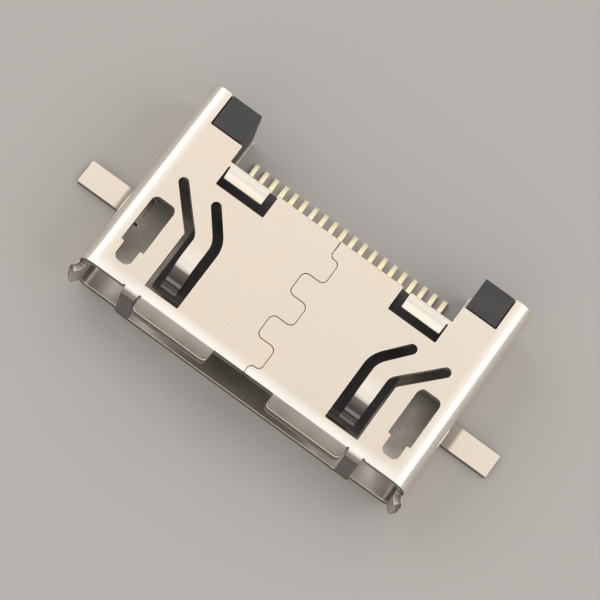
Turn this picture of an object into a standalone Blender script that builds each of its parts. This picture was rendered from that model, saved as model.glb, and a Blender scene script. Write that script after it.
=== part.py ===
"""Surface-mount charging port for a phone: a folded sheet-metal shell, a moulded housing and a row of contacts.

Lengths are in metres. X runs across the mouth, the mouth faces -Y, and the board is the plane Z = 0.
The shell is laid out as the flat blank that a press tool cuts, then folded. On the blank, s runs across
the strip from the middle of the floor, and v runs back from the front edge.
"""

import math
from dataclasses import dataclass

import bmesh
import bpy
from mathutils import Matrix, Vector
from mathutils.geometry import delaunay_2d_cdt

# Contacts, and the room from their row to the shell's sides
CONTACT_COUNT = 20
CONTACT_PITCH = 0.0004
SIDE_ROOM = 0.0023
CONTACT_WIDTH = 0.00018
CONTACT_THICK = 0.00012
CONTACT_BEND = 0.00015
CONTACT_TIP = 0.0013
CONTACT_DROP = 0.00568
CONTACT_TAIL = 0.00676
CONTACT_PROUD = 0.00003

# Shell: the tube that the plug goes into
SHELL_LENGTH = 0.0073
SHELL_HEIGHT = 0.00275
SHEET = 0.00025
CORNER_RADIUS = 0.0005
CUT_CORNER = 0.00006

# Rear edge. An inset is measured in from the side of the shell
ROOF_REAR = 0.0054
WING_INSET = 0.00195
POST_CUT_INSET = 0.00069
POST_CUT_FRONT = 0.00605
FLOOR_REAR = 0.0052

# Interlocking seam along the middle of the roof
SEAM_GAP = 0.00004
SEAM_REACH = 0.00038
SEAM_START = 0.00036
SEAM_LOBE = 0.00088
SEAM_LOBES = 5
SEAM_CORNER = 0.0002

# Flared lips round the mouth
FLARE_START = 0.00004
FLARE_RADIUS = 0.0007
FLARE_ANGLE = 24
LIP_REACH = 0.00062
LIP_INNER = 0.00115
LIP_CORNER = 0.00018
SIDE_LIP_WIDTH = 0.0013
SIDE_LIP_LENGTH = 0.00042
SIDE_LIP_RADIUS = 0.00035
SIDE_LIP_ANGLE = 48
FLOOR_LIP_INSET = 0.0017
FLOOR_LIP_LENGTH = 0.0001

# Guide tabs, folded down beside the mouth
GUIDE_INSET = 0.00197
GUIDE_WIDTH = 0.00052
GUIDE_RADIUS = 0.0002
GUIDE_DROP = 0.00166
RELIEF = 0.00008

# Latch windows in the roof
WINDOW_INSET = 0.00112
WINDOW_WIDTH = 0.00086
WINDOW_FRONT = 0.00056
WINDOW_REAR = 0.00304
WINDOW_NECK = 0.0006
WINDOW_SHOULDER = 0.0012
WINDOW_CORNER = 0.00022

# Spring fingers, cut free by one bent slot each. A root is an inset and a distance from the front edge
SLOT_WIDTH = 0.00034
FINGER_ROOT_OUTER = (0.00117, 0.00391)
FINGER_ROOT_INNER = (0.00247, 0.00388)
FINGER_KNEE_OUTER = 0.00262
FINGER_KNEE_INNER = 0.00288
FINGER_INSET = 0.00281
FINGER_WIDTH = 0.00058
FINGER_KNEE_RADIUS_OUTER = 0.00025
FINGER_KNEE_RADIUS_INNER = 0.0009
FINGER_FRONT = 0.0004
FINGER_HINGE = 0.0019
FINGER_BEND = 0.00035
FINGER_SLOPE = 50
FINGER_RAMP = 0.00044
FINGER_NOSE = 0.00025
FINGER_NOSE_TURN = 85
FINGER_TAIL = 0.0001

# Retention flaps, folded down into the housing at the rear of the roof
FLAP_CUT_OUTER = 0.002
FLAP_CUT_INNER = 0.00385
FLAP_CUT_FRONT = 0.0045
FLAP_OUTER = 0.0021
FLAP_INNER = 0.00355
FLAP_HINGE = 0.00524
FLAP_RADIUS = 0.0003
FLAP_ANGLE = 40
FLAP_LENGTH = 0.00035

# Solder tabs: strips of the side walls left flat with the floor
TAB_Y = 0.00309
TAB_WIDTH = 0.00095
TAB_REACH = 0.00185
TAB_CUT = 0.0001

# Housing
FIT = 0.00002
BASE_FRONT = 0.00446
BASE_REAR = 0.00558
COMB_REAR = 0.00582
COMB_TOP = 0.0013
TONGUE_EDGE = 0.00005
TONGUE_FRONT = 0.00095
TONGUE_BOTTOM = 0.00098
TONGUE_THICK = 0.0007
TONGUE_NOSE = 0.00018
POST_INSET = 0.00187
POST_FIT = 0.00004
POCKET_DEPTH = 0.00055
CHANNEL_FIT = 0.00002

BEND_STEP = math.radians(15)
ARC_STEPS = 4
WELD = 1e-7
FILL_SCALE = 1000
FILL_WELD = 1e-5

# Outer sizes that follow from the ones above
ROW_WIDTH = CONTACT_COUNT * CONTACT_PITCH
HALF_WIDTH = ROW_WIDTH / 2 + SIDE_ROOM
FRONT_Y = (LIP_REACH - SHELL_LENGTH) / 2
MID_RADIUS = CORNER_RADIUS - SHEET / 2
FLAT_HALF = HALF_WIDTH - CORNER_RADIUS
CORNER_ARC = MID_RADIUS * math.pi / 2
WALL_FLAT = SHELL_HEIGHT - 2 * CORNER_RADIUS
WALL_START = FLAT_HALF + CORNER_ARC
BLANK_HALF = 2 * FLAT_HALF + 2 * CORNER_ARC + WALL_FLAT
SIDE_MIDDLE = WALL_START + WALL_FLAT / 2
LIP_OUTER = GUIDE_INSET + GUIDE_WIDTH / 2 + RELIEF
INSIDE = SHEET + FIT
TONGUE_WIDTH = ROW_WIDTH + 2 * TONGUE_EDGE

PLANES = {
    "XY": Matrix.Identity(4),
    "XZ": Matrix(((1, 0, 0, 0), (0, 0, -1, 0), (0, 1, 0, 0), (0, 0, 0, 1))),
    "YZ": Matrix(((0, 0, 1, 0), (1, 0, 0, 0), (0, 1, 0, 0), (0, 0, 0, 1))),
}


def straight(length):
    """One run of a strip: its length and how far it turns."""
    return length, 0.0


def bend(radius, degrees):
    """A run that turns on a radius, measured to the middle of the sheet. Up or outward is positive."""
    turn = math.radians(degrees)
    return radius * abs(turn), turn


def follow(runs, distance):
    """How far a bent strip has advanced and risen, and its heading, at a distance along it."""
    advance, rise, heading = 0.0, 0.0, 0.0
    for length, turn in runs + [straight(distance)]:
        step = min(length, distance)
        if turn:
            radius = length / turn
            ahead = heading + turn * step / length
            advance += radius * (math.sin(ahead) - math.sin(heading))
            rise += radius * (math.cos(heading) - math.cos(ahead))
            heading = ahead
        else:
            advance += step * math.cos(heading)
            rise += step * math.sin(heading)
        distance -= step
        if distance <= 0:
            break
    return advance, rise, heading


def stations(runs):
    """Distances along a strip where its facets meet."""
    found, done = [0.0], 0.0
    for length, turn in runs:
        steps = max(1, math.ceil(abs(turn) / BEND_STEP - 1e-6))
        found += [done + length * i / steps for i in range(1, steps + 1)]
        done += length
    return found


def run_length(runs):
    return sum(length for length, _ in runs)


def rounded(points, radius):
    """A path or outline with its corners rounded. A point may carry its own radius as a third value."""
    corners = [(Vector(p[:2]), p[2] if len(p) > 2 else radius) for p in points]
    path = [corners[0][0]]
    for (before, _), (corner, wanted), (after, _) in zip(corners, corners[1:], corners[2:]):
        back, ahead = before - corner, after - corner
        half = back.angle(ahead) / 2
        reach = min(wanted / math.tan(half), 0.49 * back.length, 0.49 * ahead.length)
        if reach < 10 * WELD:
            path.append(corner)
            continue
        start, end = corner + back.normalized() * reach, corner + ahead.normalized() * reach
        middle = corner + (back.normalized() + ahead.normalized()).normalized() * reach / math.cos(half)
        for i in range(ARC_STEPS + 1):
            arm = (start - middle).lerp(end - middle, i / ARC_STEPS)
            path.append(middle + arm.normalized() * (start - middle).length)
    return path + [corners[-1][0]]


def closed_round(points, radius):
    """A closed outline with every corner rounded."""
    path = rounded([points[-1], *points, points[0]], radius)
    return path[1:-1]


def beside(path, distance):
    """The path moved sideways, to its left where distance is positive."""
    moved = []
    for i, point in enumerate(path):
        ahead = path[min(i + 1, len(path) - 1)] - path[max(i - 1, 0)]
        moved.append(point + Vector((-ahead.y, ahead.x)).normalized() * distance)
    return moved


def round_end(centre, left):
    """Points round the back of a slot's start, from its right edge to its left edge."""
    arm, turn = left - centre, math.pi / (2 * ARC_STEPS)
    return [centre + Matrix.Rotation(turn * i, 2) @ arm for i in range(2 * ARC_STEPS - 1, 0, -1)]


def across(side, *insets):
    """Insets from one side of the shell as x, lowest first."""
    return sorted(side * (HALF_WIDTH - inset) for inset in insets)


def mirrored(outline):
    return [Vector((-p[0], p[1])) for p in outline]


def roof(inset, v):
    """A place on the roof, as a place on the blank."""
    return Vector((BLANK_HALF - HALF_WIDTH + inset, v))


@dataclass(frozen=True)
class Flap:
    """A stretch of the blank that folds about a hinge across it, from there to its front end."""

    low: float
    high: float
    hinge: float
    end: float
    runs: list

    def holds(self, s, v):
        inside = self.low - WELD < s < self.high + WELD
        return inside and self.end - WELD < v < self.hinge

    def folded(self, v, depth):
        """Place along and out from the sheet, for a place on the flat flap and within its thickness."""
        advance, rise, heading = follow(self.runs, self.hinge - v)
        return self.hinge - advance + depth * math.sin(heading), rise + depth * math.cos(heading)


def lip_runs():
    """The roof's flare, and the flat length that brings it to its full reach."""
    turn = bend(FLARE_RADIUS, FLARE_ANGLE)
    advance, _, heading = follow([turn], turn[0])
    corner = math.sin(heading) * SHEET / 2
    return [turn, straight((LIP_REACH + FLARE_START - advance - corner) / math.cos(heading))]


def guide_runs():
    return [bend(GUIDE_RADIUS, -90), straight(GUIDE_DROP)]


def finger_runs():
    return [
        bend(FINGER_BEND, -FINGER_SLOPE),
        straight(FINGER_RAMP),
        bend(FINGER_NOSE, FINGER_NOSE_TURN),
        straight(FINGER_TAIL),
    ]


def flap_runs():
    turn = bend(FLAP_RADIUS, -FLAP_ANGLE)
    return [turn, straight(FLAP_LENGTH - turn[0])]


def side_lip_runs():
    turn = bend(SIDE_LIP_RADIUS, SIDE_LIP_ANGLE)
    return [turn, straight(SIDE_LIP_LENGTH - turn[0])]


def folds():
    """Every flap of one half of the blank. The other half is its mirror image."""
    lip, guide, finger, rear = lip_runs(), guide_runs(), finger_runs(), flap_runs()
    edge = BLANK_HALF - HALF_WIDTH
    return [
        Flap(edge + LIP_OUTER, BLANK_HALF + SEAM_REACH, FLARE_START, FLARE_START - run_length(lip), lip),
        Flap(
            edge + GUIDE_INSET - GUIDE_WIDTH / 2,
            edge + GUIDE_INSET + GUIDE_WIDTH / 2,
            FLARE_START,
            FLARE_START - run_length(guide),
            guide,
        ),
        Flap(
            edge + FINGER_INSET - FINGER_WIDTH / 2,
            edge + FINGER_INSET + FINGER_WIDTH / 2,
            FINGER_HINGE,
            FINGER_HINGE - run_length(finger),
            finger,
        ),
        Flap(edge + FLAP_OUTER, edge + FLAP_INNER, FLAP_HINGE, FLAP_HINGE - FLAP_LENGTH, rear),
        Flap(
            SIDE_MIDDLE - SIDE_LIP_WIDTH / 2,
            SIDE_MIDDLE + SIDE_LIP_WIDTH / 2,
            0.0,
            -SIDE_LIP_LENGTH,
            side_lip_runs(),
        ),
    ]


def front_edge():
    """Front of one half of the blank, from the middle of the floor to the seam."""
    floor_lip = HALF_WIDTH - FLOOR_LIP_INSET
    side_low, side_high = SIDE_MIDDLE - SIDE_LIP_WIDTH / 2, SIDE_MIDDLE + SIDE_LIP_WIDTH / 2
    guide_outer, guide_inner = GUIDE_INSET - GUIDE_WIDTH / 2, GUIDE_INSET + GUIDE_WIDTH / 2
    guide_end = FLARE_START - run_length(guide_runs())
    lip_end = FLARE_START - run_length(lip_runs())
    notch = HALF_WIDTH - LIP_INNER
    return rounded(
        [
            (0.0, -FLOOR_LIP_LENGTH),
            (floor_lip, -FLOOR_LIP_LENGTH),
            (floor_lip, 0.0),
            (side_low, 0.0),
            (side_low, -SIDE_LIP_LENGTH, LIP_CORNER),
            (side_high, -SIDE_LIP_LENGTH, LIP_CORNER),
            (side_high, 0.0),
            roof(guide_outer - RELIEF, 0.0),
            roof(guide_outer - RELIEF, FLARE_START),
            roof(guide_outer, FLARE_START),
            roof(guide_outer, guide_end),
            roof(guide_inner, guide_end),
            roof(guide_inner, FLARE_START),
            roof(LIP_OUTER, FLARE_START),
            (*roof(LIP_OUTER, lip_end), LIP_CORNER),
            (*roof(notch, lip_end), LIP_CORNER),
            roof(notch, 0.0),
            roof(HALF_WIDTH, 0.0),
        ],
        0.0,
    )[:-1]


def rear_edge():
    """Rear of one half of the blank, from the seam to the middle of the floor."""
    wing = HALF_WIDTH - WING_INSET
    return rounded(
        [
            roof(HALF_WIDTH, ROOF_REAR),
            roof(FLAP_CUT_INNER, ROOF_REAR),
            roof(FLAP_CUT_INNER, FLAP_CUT_FRONT),
            roof(FLAP_CUT_OUTER, FLAP_CUT_FRONT),
            roof(FLAP_CUT_OUTER, FLAP_HINGE),
            roof(FLAP_OUTER, FLAP_HINGE),
            roof(FLAP_OUTER, FLAP_HINGE - FLAP_LENGTH),
            roof(FLAP_INNER, FLAP_HINGE - FLAP_LENGTH),
            roof(FLAP_INNER, ROOF_REAR),
            roof(WING_INSET, ROOF_REAR),
            roof(WING_INSET, POST_CUT_FRONT),
            roof(POST_CUT_INSET, POST_CUT_FRONT),
            roof(POST_CUT_INSET, SHELL_LENGTH),
            (wing, SHELL_LENGTH),
            (wing, FLOOR_REAR),
            (0.0, FLOOR_REAR),
        ],
        0.0,
    )[1:]


def seam_line():
    """Middle of the seam, front to rear, as x across the roof and v."""
    points, side = [(0.0, 0.0), (0.0, SEAM_START)], 1
    for lobe in range(SEAM_LOBES):
        low, high = SEAM_START + lobe * SEAM_LOBE, SEAM_START + (lobe + 1) * SEAM_LOBE
        points += [(side * SEAM_REACH, low), (side * SEAM_REACH, high)]
        side = -side
    points += [(0.0, SEAM_START + SEAM_LOBES * SEAM_LOBE), (0.0, ROOF_REAR)]
    return rounded(points, SEAM_CORNER)


def blank_outline():
    """The whole blank: right half, then the left half back to the start."""
    right_seam = [roof(HALF_WIDTH - p.x, p.y) for p in beside(seam_line(), -SEAM_GAP / 2)]
    left_seam = mirrored(roof(HALF_WIDTH + p.x, p.y) for p in beside(seam_line(), SEAM_GAP / 2))
    right = front_edge() + right_seam + rear_edge()
    left = mirrored(reversed(rear_edge())) + left_seam[::-1] + mirrored(reversed(front_edge()))
    return right + left[1:-1]


def window_outline():
    """Latch window: a rounded slot with a narrower front end."""
    wide, neck = WINDOW_WIDTH / 2, WINDOW_NECK / 2
    outline = [
        (-neck, WINDOW_FRONT),
        (neck, WINDOW_FRONT),
        (neck, WINDOW_SHOULDER, CUT_CORNER),
        (wide, WINDOW_SHOULDER, CUT_CORNER),
        (wide, WINDOW_REAR),
        (-wide, WINDOW_REAR),
        (-wide, WINDOW_SHOULDER, CUT_CORNER),
        (-neck, WINDOW_SHOULDER, CUT_CORNER),
    ]
    return [roof(WINDOW_INSET + p.x, p.y) for p in closed_round(outline, WINDOW_CORNER)]


def finger_slot_outline():
    """The slot that frees a spring finger: up one side, round the tip and back up the other."""
    half = (FINGER_WIDTH + SLOT_WIDTH) / 2
    tip = FINGER_HINGE - run_length(finger_runs())
    sides = []
    for root, x, knee, radius in (
        (FINGER_ROOT_OUTER, FINGER_INSET - half, FINGER_KNEE_OUTER, FINGER_KNEE_RADIUS_OUTER),
        (FINGER_ROOT_INNER, FINGER_INSET + half, FINGER_KNEE_INNER, FINGER_KNEE_RADIUS_INNER),
    ):
        for end in (FINGER_FRONT, tip):
            sides.append(rounded([root, (x, knee), (x, end)], radius))
    left, right = SLOT_WIDTH / 2, -SLOT_WIDTH / 2
    outer_far, outer_near = beside(sides[0], right), beside(sides[1], left)
    inner_far, inner_near = beside(sides[2], left), beside(sides[3], right)
    outer_end = round_end(Vector(FINGER_ROOT_OUTER), outer_near[0])
    inner_end = round_end(Vector(FINGER_ROOT_INNER), inner_far[0])
    outline = outer_far + inner_far[::-1] + inner_end[::-1] + inner_near + outer_near[::-1] + outer_end[::-1]
    return [roof(p.x, p.y) for p in outline]


def tab_cut_outline():
    """The cut round a solder tab, from the floor's edge to the tab's end."""
    end = HALF_WIDTH + TAB_REACH
    start = FLAT_HALF - TAB_CUT
    near, far = TAB_Y - TAB_WIDTH / 2, TAB_Y + TAB_WIDTH / 2
    return [
        Vector(p)
        for p in (
            (start, near - TAB_CUT),
            (end + TAB_CUT, near - TAB_CUT),
            (end + TAB_CUT, far + TAB_CUT),
            (start, far + TAB_CUT),
            (start, far),
            (end, far),
            (end, near),
            (start, near),
        )
    ]


def on_tab(s, v):
    inside = abs(v - TAB_Y) < TAB_WIDTH / 2 + WELD
    return inside and FLAT_HALF < s < HALF_WIDTH + TAB_REACH + WELD


def wrapped(s):
    """Where a place on one half of the blank comes to lie: x, z and the outward direction there."""
    lower, upper = WALL_START, WALL_START + WALL_FLAT
    if s <= FLAT_HALF:
        return s, SHEET / 2, 0.0, -1.0
    if s < lower:
        turn = (s - FLAT_HALF) / MID_RADIUS
        x, z = FLAT_HALF + MID_RADIUS * math.sin(turn), CORNER_RADIUS - MID_RADIUS * math.cos(turn)
        return x, z, math.sin(turn), -math.cos(turn)
    if s <= upper:
        return FLAT_HALF + MID_RADIUS, CORNER_RADIUS + s - lower, 1.0, 0.0
    if s < upper + CORNER_ARC:
        turn = (s - upper) / MID_RADIUS
        x = FLAT_HALF + MID_RADIUS * math.cos(turn)
        z = SHELL_HEIGHT - CORNER_RADIUS + MID_RADIUS * math.sin(turn)
        return x, z, math.cos(turn), math.sin(turn)
    return BLANK_HALF - s, SHELL_HEIGHT - SHEET / 2, 0.0, 1.0


def folded(place, flaps):
    """A place in the flat blank, after folding. Its third value is the place within the sheet."""
    s, v, depth = place
    side, s = (1 if s >= 0 else -1), abs(s)
    if on_tab(s, v):
        return side * s, FRONT_Y + v, SHEET / 2 - depth
    x, z, out_x, out_z = wrapped(s)
    for flap in flaps:
        if flap.holds(s, v):
            v, depth = flap.folded(v, depth)
            break
    return side * (x + out_x * depth), FRONT_Y + v, z + out_z * depth


def part_collection(name):
    collection = bpy.data.collections.new(name)
    bpy.context.scene.collection.children.link(collection)
    return collection


def outline_mesh(name, outlines, depth):
    """A solid mesh of a flat outline, the later ones as holes, half its depth to each side of its plane."""
    curve = bpy.data.curves.new(name, "CURVE")
    curve.dimensions = "2D"
    curve.fill_mode = "BOTH"
    curve.extrude = depth / 2 * FILL_SCALE
    for outline in outlines:
        spline = curve.splines.new("POLY")
        spline.points.add(len(outline) - 1)
        for point, (a, b) in zip(spline.points, outline):
            point.co = (a * FILL_SCALE, b * FILL_SCALE, 0, 1)
        spline.use_cyclic_u = True
    guide = bpy.data.objects.new(name, curve)
    bpy.context.scene.collection.objects.link(guide)
    bpy.context.view_layer.update()
    mesh = bpy.data.meshes.new_from_object(guide.evaluated_get(bpy.context.evaluated_depsgraph_get()))
    bpy.data.objects.remove(guide)
    bpy.data.curves.remove(curve)
    mesh.name = name
    shape = bmesh.new()
    shape.from_mesh(mesh)
    bmesh.ops.scale(shape, verts=shape.verts, vec=Vector((1, 1, 1)) / FILL_SCALE)
    bmesh.ops.remove_doubles(shape, verts=shape.verts, dist=WELD)
    bmesh.ops.recalc_face_normals(shape, faces=shape.faces)
    shape.to_mesh(mesh)
    shape.free()
    return mesh


def add_object(name, mesh, collection, place=Matrix.Identity(4)):
    obj = bpy.data.objects.new(name, mesh)
    obj.matrix_world = place
    collection.objects.link(obj)
    return obj


def helper(obj):
    """Marks an object as a shaping tool, which isn't part of the port."""
    obj.hide_render = True
    obj.display_type = "WIRE"
    return obj


def box(name, low, high, collection):
    """A box between two corners, given as x, v back from the front edge, and z."""
    low, high = Vector(low), Vector(high)
    shape = bmesh.new()
    bmesh.ops.create_cube(shape, size=1)
    bmesh.ops.scale(shape, verts=shape.verts, vec=high - low)
    mesh = bpy.data.meshes.new(name)
    shape.to_mesh(mesh)
    shape.free()
    place = Matrix.Translation((low + high) / 2 + Vector((0, FRONT_Y, 0)))
    return helper(add_object(name, mesh, collection, place))


def prism(name, outline, plane, depth, centre, collection):
    """A closed outline pushed out to a depth, across the plane it lies in."""
    mesh = outline_mesh(name, [outline], depth)
    return helper(add_object(name, mesh, collection, Matrix.Translation(centre) @ PLANES[plane]))


def shape_with(obj, operation, tools, name):
    """Joins or cuts the object with a collection of tools."""
    modifier = obj.modifiers.new(name, "BOOLEAN")
    modifier.operation = operation
    modifier.solver = "EXACT"
    modifier.operand_type = "COLLECTION"
    modifier.collection = tools


def material(name, colour, roughness, metallic):
    made = bpy.data.materials.new(name)
    made.use_nodes = True
    shader = made.node_tree.nodes["Principled BSDF"]
    shader.inputs["Base Color"].default_value = (*colour, 1)
    shader.inputs["Roughness"].default_value = roughness
    shader.inputs["Metallic"].default_value = metallic
    made.diffuse_color = (*colour, 1)
    return made


def fold_lines(flaps):
    """Where the blank needs an edge to fold on: along both rounded corners, and across every flap."""
    steps = math.ceil(math.pi / 2 / BEND_STEP)
    lines = []
    for side in (1, -1):
        for start in (FLAT_HALF, WALL_START + WALL_FLAT):
            for i in range(steps + 1):
                s = side * (start + CORNER_ARC * i / steps)
                lines.append((Vector((s, -SHELL_LENGTH)), Vector((s, 2 * SHELL_LENGTH))))
        for flap in flaps:
            for distance in stations(flap.runs):
                v = flap.hinge - distance
                low, high = side * (flap.low - RELIEF / 2), side * (flap.high + RELIEF / 2)
                lines.append((Vector((low, v)), Vector((high, v))))
    return lines


def inside(place, outlines):
    """Whether a place is within the metal: inside an odd number of the outlines."""
    within = False
    for outline in outlines:
        for a, b in zip(outline, outline[1:] + outline[:1]):
            if (a.y > place.y) != (b.y > place.y):
                within ^= place.x < a.x + (place.y - a.y) * (b.x - a.x) / (b.y - a.y)
    return within


def blank_triangles(outlines, lines):
    """The flat blank as places and triangles, with an edge along every outline and line."""
    places, edges = [], []
    for outline in outlines:
        first = len(places)
        places += outline
        edges += [(first + i, first + (i + 1) % len(outline)) for i in range(len(outline))]
    for line in lines:
        edges.append((len(places), len(places) + 1))
        places += line
    scaled = [place * FILL_SCALE for place in places]
    verts, _, faces, *_ = delaunay_2d_cdt(scaled, edges, [], 0, FILL_WELD)
    verts = [Vector(vert) / FILL_SCALE for vert in verts]
    kept = [face for face in faces if inside(sum((verts[i] for i in face), Vector((0, 0))) / 3, outlines)]
    return verts, kept


def make_shell(collection, finish):
    """The shell: a blank cut from sheet, folded round into a tube whose edges meet along the roof."""
    flaps = folds()
    holes = [window_outline(), finger_slot_outline(), tab_cut_outline()]
    outlines = [blank_outline(), *holes, *(mirrored(hole) for hole in holes)]
    verts, faces = blank_triangles(outlines, fold_lines(flaps))
    mesh = bpy.data.meshes.new("shell")
    mesh.from_pydata([(*vert, -SHEET / 2) for vert in verts], [], faces)
    shape = bmesh.new()
    shape.from_mesh(mesh)
    bmesh.ops.delete(shape, geom=[v for v in shape.verts if not v.link_faces], context="VERTS")
    made = bmesh.ops.extrude_face_region(shape, geom=shape.faces[:])
    raised = [item for item in made["geom"] if isinstance(item, bmesh.types.BMVert)]
    bmesh.ops.translate(shape, verts=raised, vec=(0, 0, SHEET))
    bmesh.ops.recalc_face_normals(shape, faces=shape.faces)
    for vert in shape.verts:
        vert.co = folded(vert.co, flaps)
    bmesh.ops.reverse_faces(shape, faces=shape.faces)
    shape.to_mesh(mesh)
    shape.free()
    mesh.materials.append(finish)
    return add_object("shell", mesh, collection)


def contact_xs():
    first = -(CONTACT_COUNT - 1) / 2 * CONTACT_PITCH
    return [first + i * CONTACT_PITCH for i in range(CONTACT_COUNT)]


def contact_height():
    """Middle of a contact where it lies under the tongue."""
    return TONGUE_BOTTOM - CONTACT_PROUD + CONTACT_THICK / 2


def contact_outline():
    """Side view of a contact, as y and z: blade under the tongue, drop behind the base, solder tail."""
    drop = contact_height() - CONTACT_THICK / 2
    runs = [
        straight(CONTACT_DROP - CONTACT_BEND - CONTACT_TIP),
        bend(CONTACT_BEND, -90),
        straight(drop - 2 * CONTACT_BEND),
        bend(CONTACT_BEND, 90),
        straight(CONTACT_TAIL - CONTACT_DROP - CONTACT_BEND),
    ]
    upper, lower = [], []
    for distance in stations(runs):
        advance, rise, heading = follow(runs, distance)
        middle = Vector((FRONT_Y + CONTACT_TIP + advance, contact_height() + rise))
        across = Vector((-math.sin(heading), math.cos(heading))) * CONTACT_THICK / 2
        upper.append(middle + across)
        lower.append(middle - across)
    return upper + lower[::-1]


def make_contacts(collection, finish):
    """The row of contacts, which share one mesh."""
    mesh = outline_mesh("contact", [contact_outline()], CONTACT_WIDTH)
    mesh.materials.append(finish)
    for number, x in enumerate(contact_xs(), 1):
        add_object(f"contact_{number:02d}", mesh, collection, Matrix.Translation((x, 0, 0)) @ PLANES["YZ"])


def base_outline():
    """The housing's section, which fills the shell, as x and z."""
    half, low, high = HALF_WIDTH - INSIDE, INSIDE, SHELL_HEIGHT - INSIDE
    corners = [(-half, low), (half, low), (half, high), (-half, high)]
    return closed_round(corners, CORNER_RADIUS - SHEET)


def along(points):
    """A side view given as v back from the front edge and z, as y and z."""
    return [Vector((FRONT_Y + v, z)) for v, z in points]


def tongue_outline():
    """The tongue from the side, with a lead-in at its front."""
    back = BASE_FRONT + SHEET
    low, high = TONGUE_BOTTOM, TONGUE_BOTTOM + TONGUE_THICK
    return along(
        [
            (TONGUE_FRONT, low + TONGUE_NOSE),
            (TONGUE_FRONT + TONGUE_NOSE, low),
            (back, low),
            (back, high),
            (TONGUE_FRONT + TONGUE_NOSE, high),
            (TONGUE_FRONT, high - TONGUE_NOSE),
        ]
    )


def rear_cut_outline():
    """What is cut away between the rear posts, from the side. It leaves a low comb behind the base."""
    past = SHELL_LENGTH + SHEET
    return along(
        [
            (BASE_REAR, SHELL_HEIGHT + SHEET),
            (BASE_REAR, COMB_TOP),
            (COMB_REAR, COMB_TOP),
            (COMB_REAR, -SHEET),
            (past, -SHEET),
            (past, SHELL_HEIGHT + SHEET),
        ]
    )


def channel_outline():
    """The groove for one contact, from the side: along the tongue, through the base and down the comb."""
    low = TONGUE_BOTTOM - CONTACT_PROUD - CHANNEL_FIT
    high = contact_height() + CONTACT_THICK / 2 + CHANNEL_FIT
    drop_front = CONTACT_DROP - CONTACT_THICK / 2 - CONTACT_BEND
    past = COMB_REAR + SHEET
    return along(
        [
            (CONTACT_TIP - CHANNEL_FIT, low),
            (drop_front, low),
            (drop_front, -SHEET),
            (past, -SHEET),
            (past, high),
            (CONTACT_TIP - CHANNEL_FIT, high),
        ]
    )


def make_housing(collection, joined, cut, finish):
    """The moulding: a base that fills the rear of the shell, a tongue in the mouth and two rear posts."""
    mesh = outline_mesh("housing", [base_outline()], SHELL_LENGTH - BASE_FRONT)
    centre = (0, FRONT_Y + (BASE_FRONT + SHELL_LENGTH) / 2, 0)
    housing = add_object("housing", mesh, collection, Matrix.Translation(centre) @ PLANES["XZ"])
    housing.data.materials.append(finish)
    prism("tongue", tongue_outline(), "YZ", TONGUE_WIDTH, (0, 0, 0), joined)
    for side, name in ((1, "right"), (-1, "left")):
        low, high = across(side, POST_INSET + SHEET, POST_CUT_INSET + POST_FIT)
        box(
            f"post_{name}",
            (low, POST_CUT_FRONT + POST_FIT, SHELL_HEIGHT / 2),
            (high, SHELL_LENGTH - POST_FIT, SHELL_HEIGHT),
            joined,
        )
        low, high = across(side, FLAP_CUT_INNER + POST_FIT, FLAP_CUT_OUTER - POST_FIT)
        box(
            f"pocket_{name}",
            (low, BASE_FRONT - SHEET, SHELL_HEIGHT - INSIDE - POCKET_DEPTH),
            (high, FLAP_HINGE + SHEET, SHELL_HEIGHT + SHEET),
            cut,
        )
    prism("rear_cut", rear_cut_outline(), "YZ", 2 * (HALF_WIDTH - POST_INSET), (0, 0, 0), cut)
    for number, x in enumerate(contact_xs(), 1):
        width = CONTACT_WIDTH + 2 * CHANNEL_FIT
        prism(f"channel_{number:02d}", channel_outline(), "YZ", width, (x, 0, 0), cut)
    shape_with(housing, "UNION", joined, "moulding")
    shape_with(housing, "DIFFERENCE", cut, "openings")
    return housing


def clear_scene():
    for obj in list(bpy.data.objects):
        bpy.data.objects.remove(obj, do_unlink=True)


def main():
    clear_scene()
    parts = part_collection("charging_port")
    joined = part_collection("housing_joins")
    cut = part_collection("housing_cutters")
    nickel = material("nickel_plate", (0.84, 0.79, 0.71), 0.22, 1.0)
    resin = material("black_resin", (0.035, 0.034, 0.037), 0.5, 0.0)
    gold = material("gold_plate", (0.86, 0.68, 0.35), 0.25, 1.0)
    make_shell(parts, nickel)
    make_housing(parts, joined, cut, resin)
    make_contacts(parts, gold)


main()
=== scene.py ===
"""Looks of a board-mount charging port: folded shell, moulded housing and contacts, in a small studio."""

import logging
import math
from collections.abc import Iterable, Sequence
from dataclasses import dataclass, field
from enum import Enum, IntEnum
from typing import ClassVar, NamedTuple

import bmesh
import bpy
import numpy as np
from mathutils import Matrix, Vector
from mathutils.geometry import delaunay_2d_cdt


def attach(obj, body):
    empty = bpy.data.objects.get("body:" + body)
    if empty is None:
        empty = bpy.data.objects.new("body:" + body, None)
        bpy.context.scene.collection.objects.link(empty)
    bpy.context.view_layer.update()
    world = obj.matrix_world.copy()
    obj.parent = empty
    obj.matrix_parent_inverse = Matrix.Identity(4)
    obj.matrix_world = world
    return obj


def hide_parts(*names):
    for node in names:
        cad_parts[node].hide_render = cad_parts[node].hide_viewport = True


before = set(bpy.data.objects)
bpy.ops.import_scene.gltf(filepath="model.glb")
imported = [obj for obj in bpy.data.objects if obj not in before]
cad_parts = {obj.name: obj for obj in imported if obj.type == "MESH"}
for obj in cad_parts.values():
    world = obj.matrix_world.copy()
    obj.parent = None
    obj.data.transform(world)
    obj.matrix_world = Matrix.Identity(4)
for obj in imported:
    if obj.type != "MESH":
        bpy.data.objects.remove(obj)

log = logging.getLogger("charging_port")

MM = 0.001
MICRON = 0.001 * MM
# Places nearer to each other than this count as one.
WELD = 1e-7
# The most that one facet of a bend turns.
FACET_TURN = math.radians(9)
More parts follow.
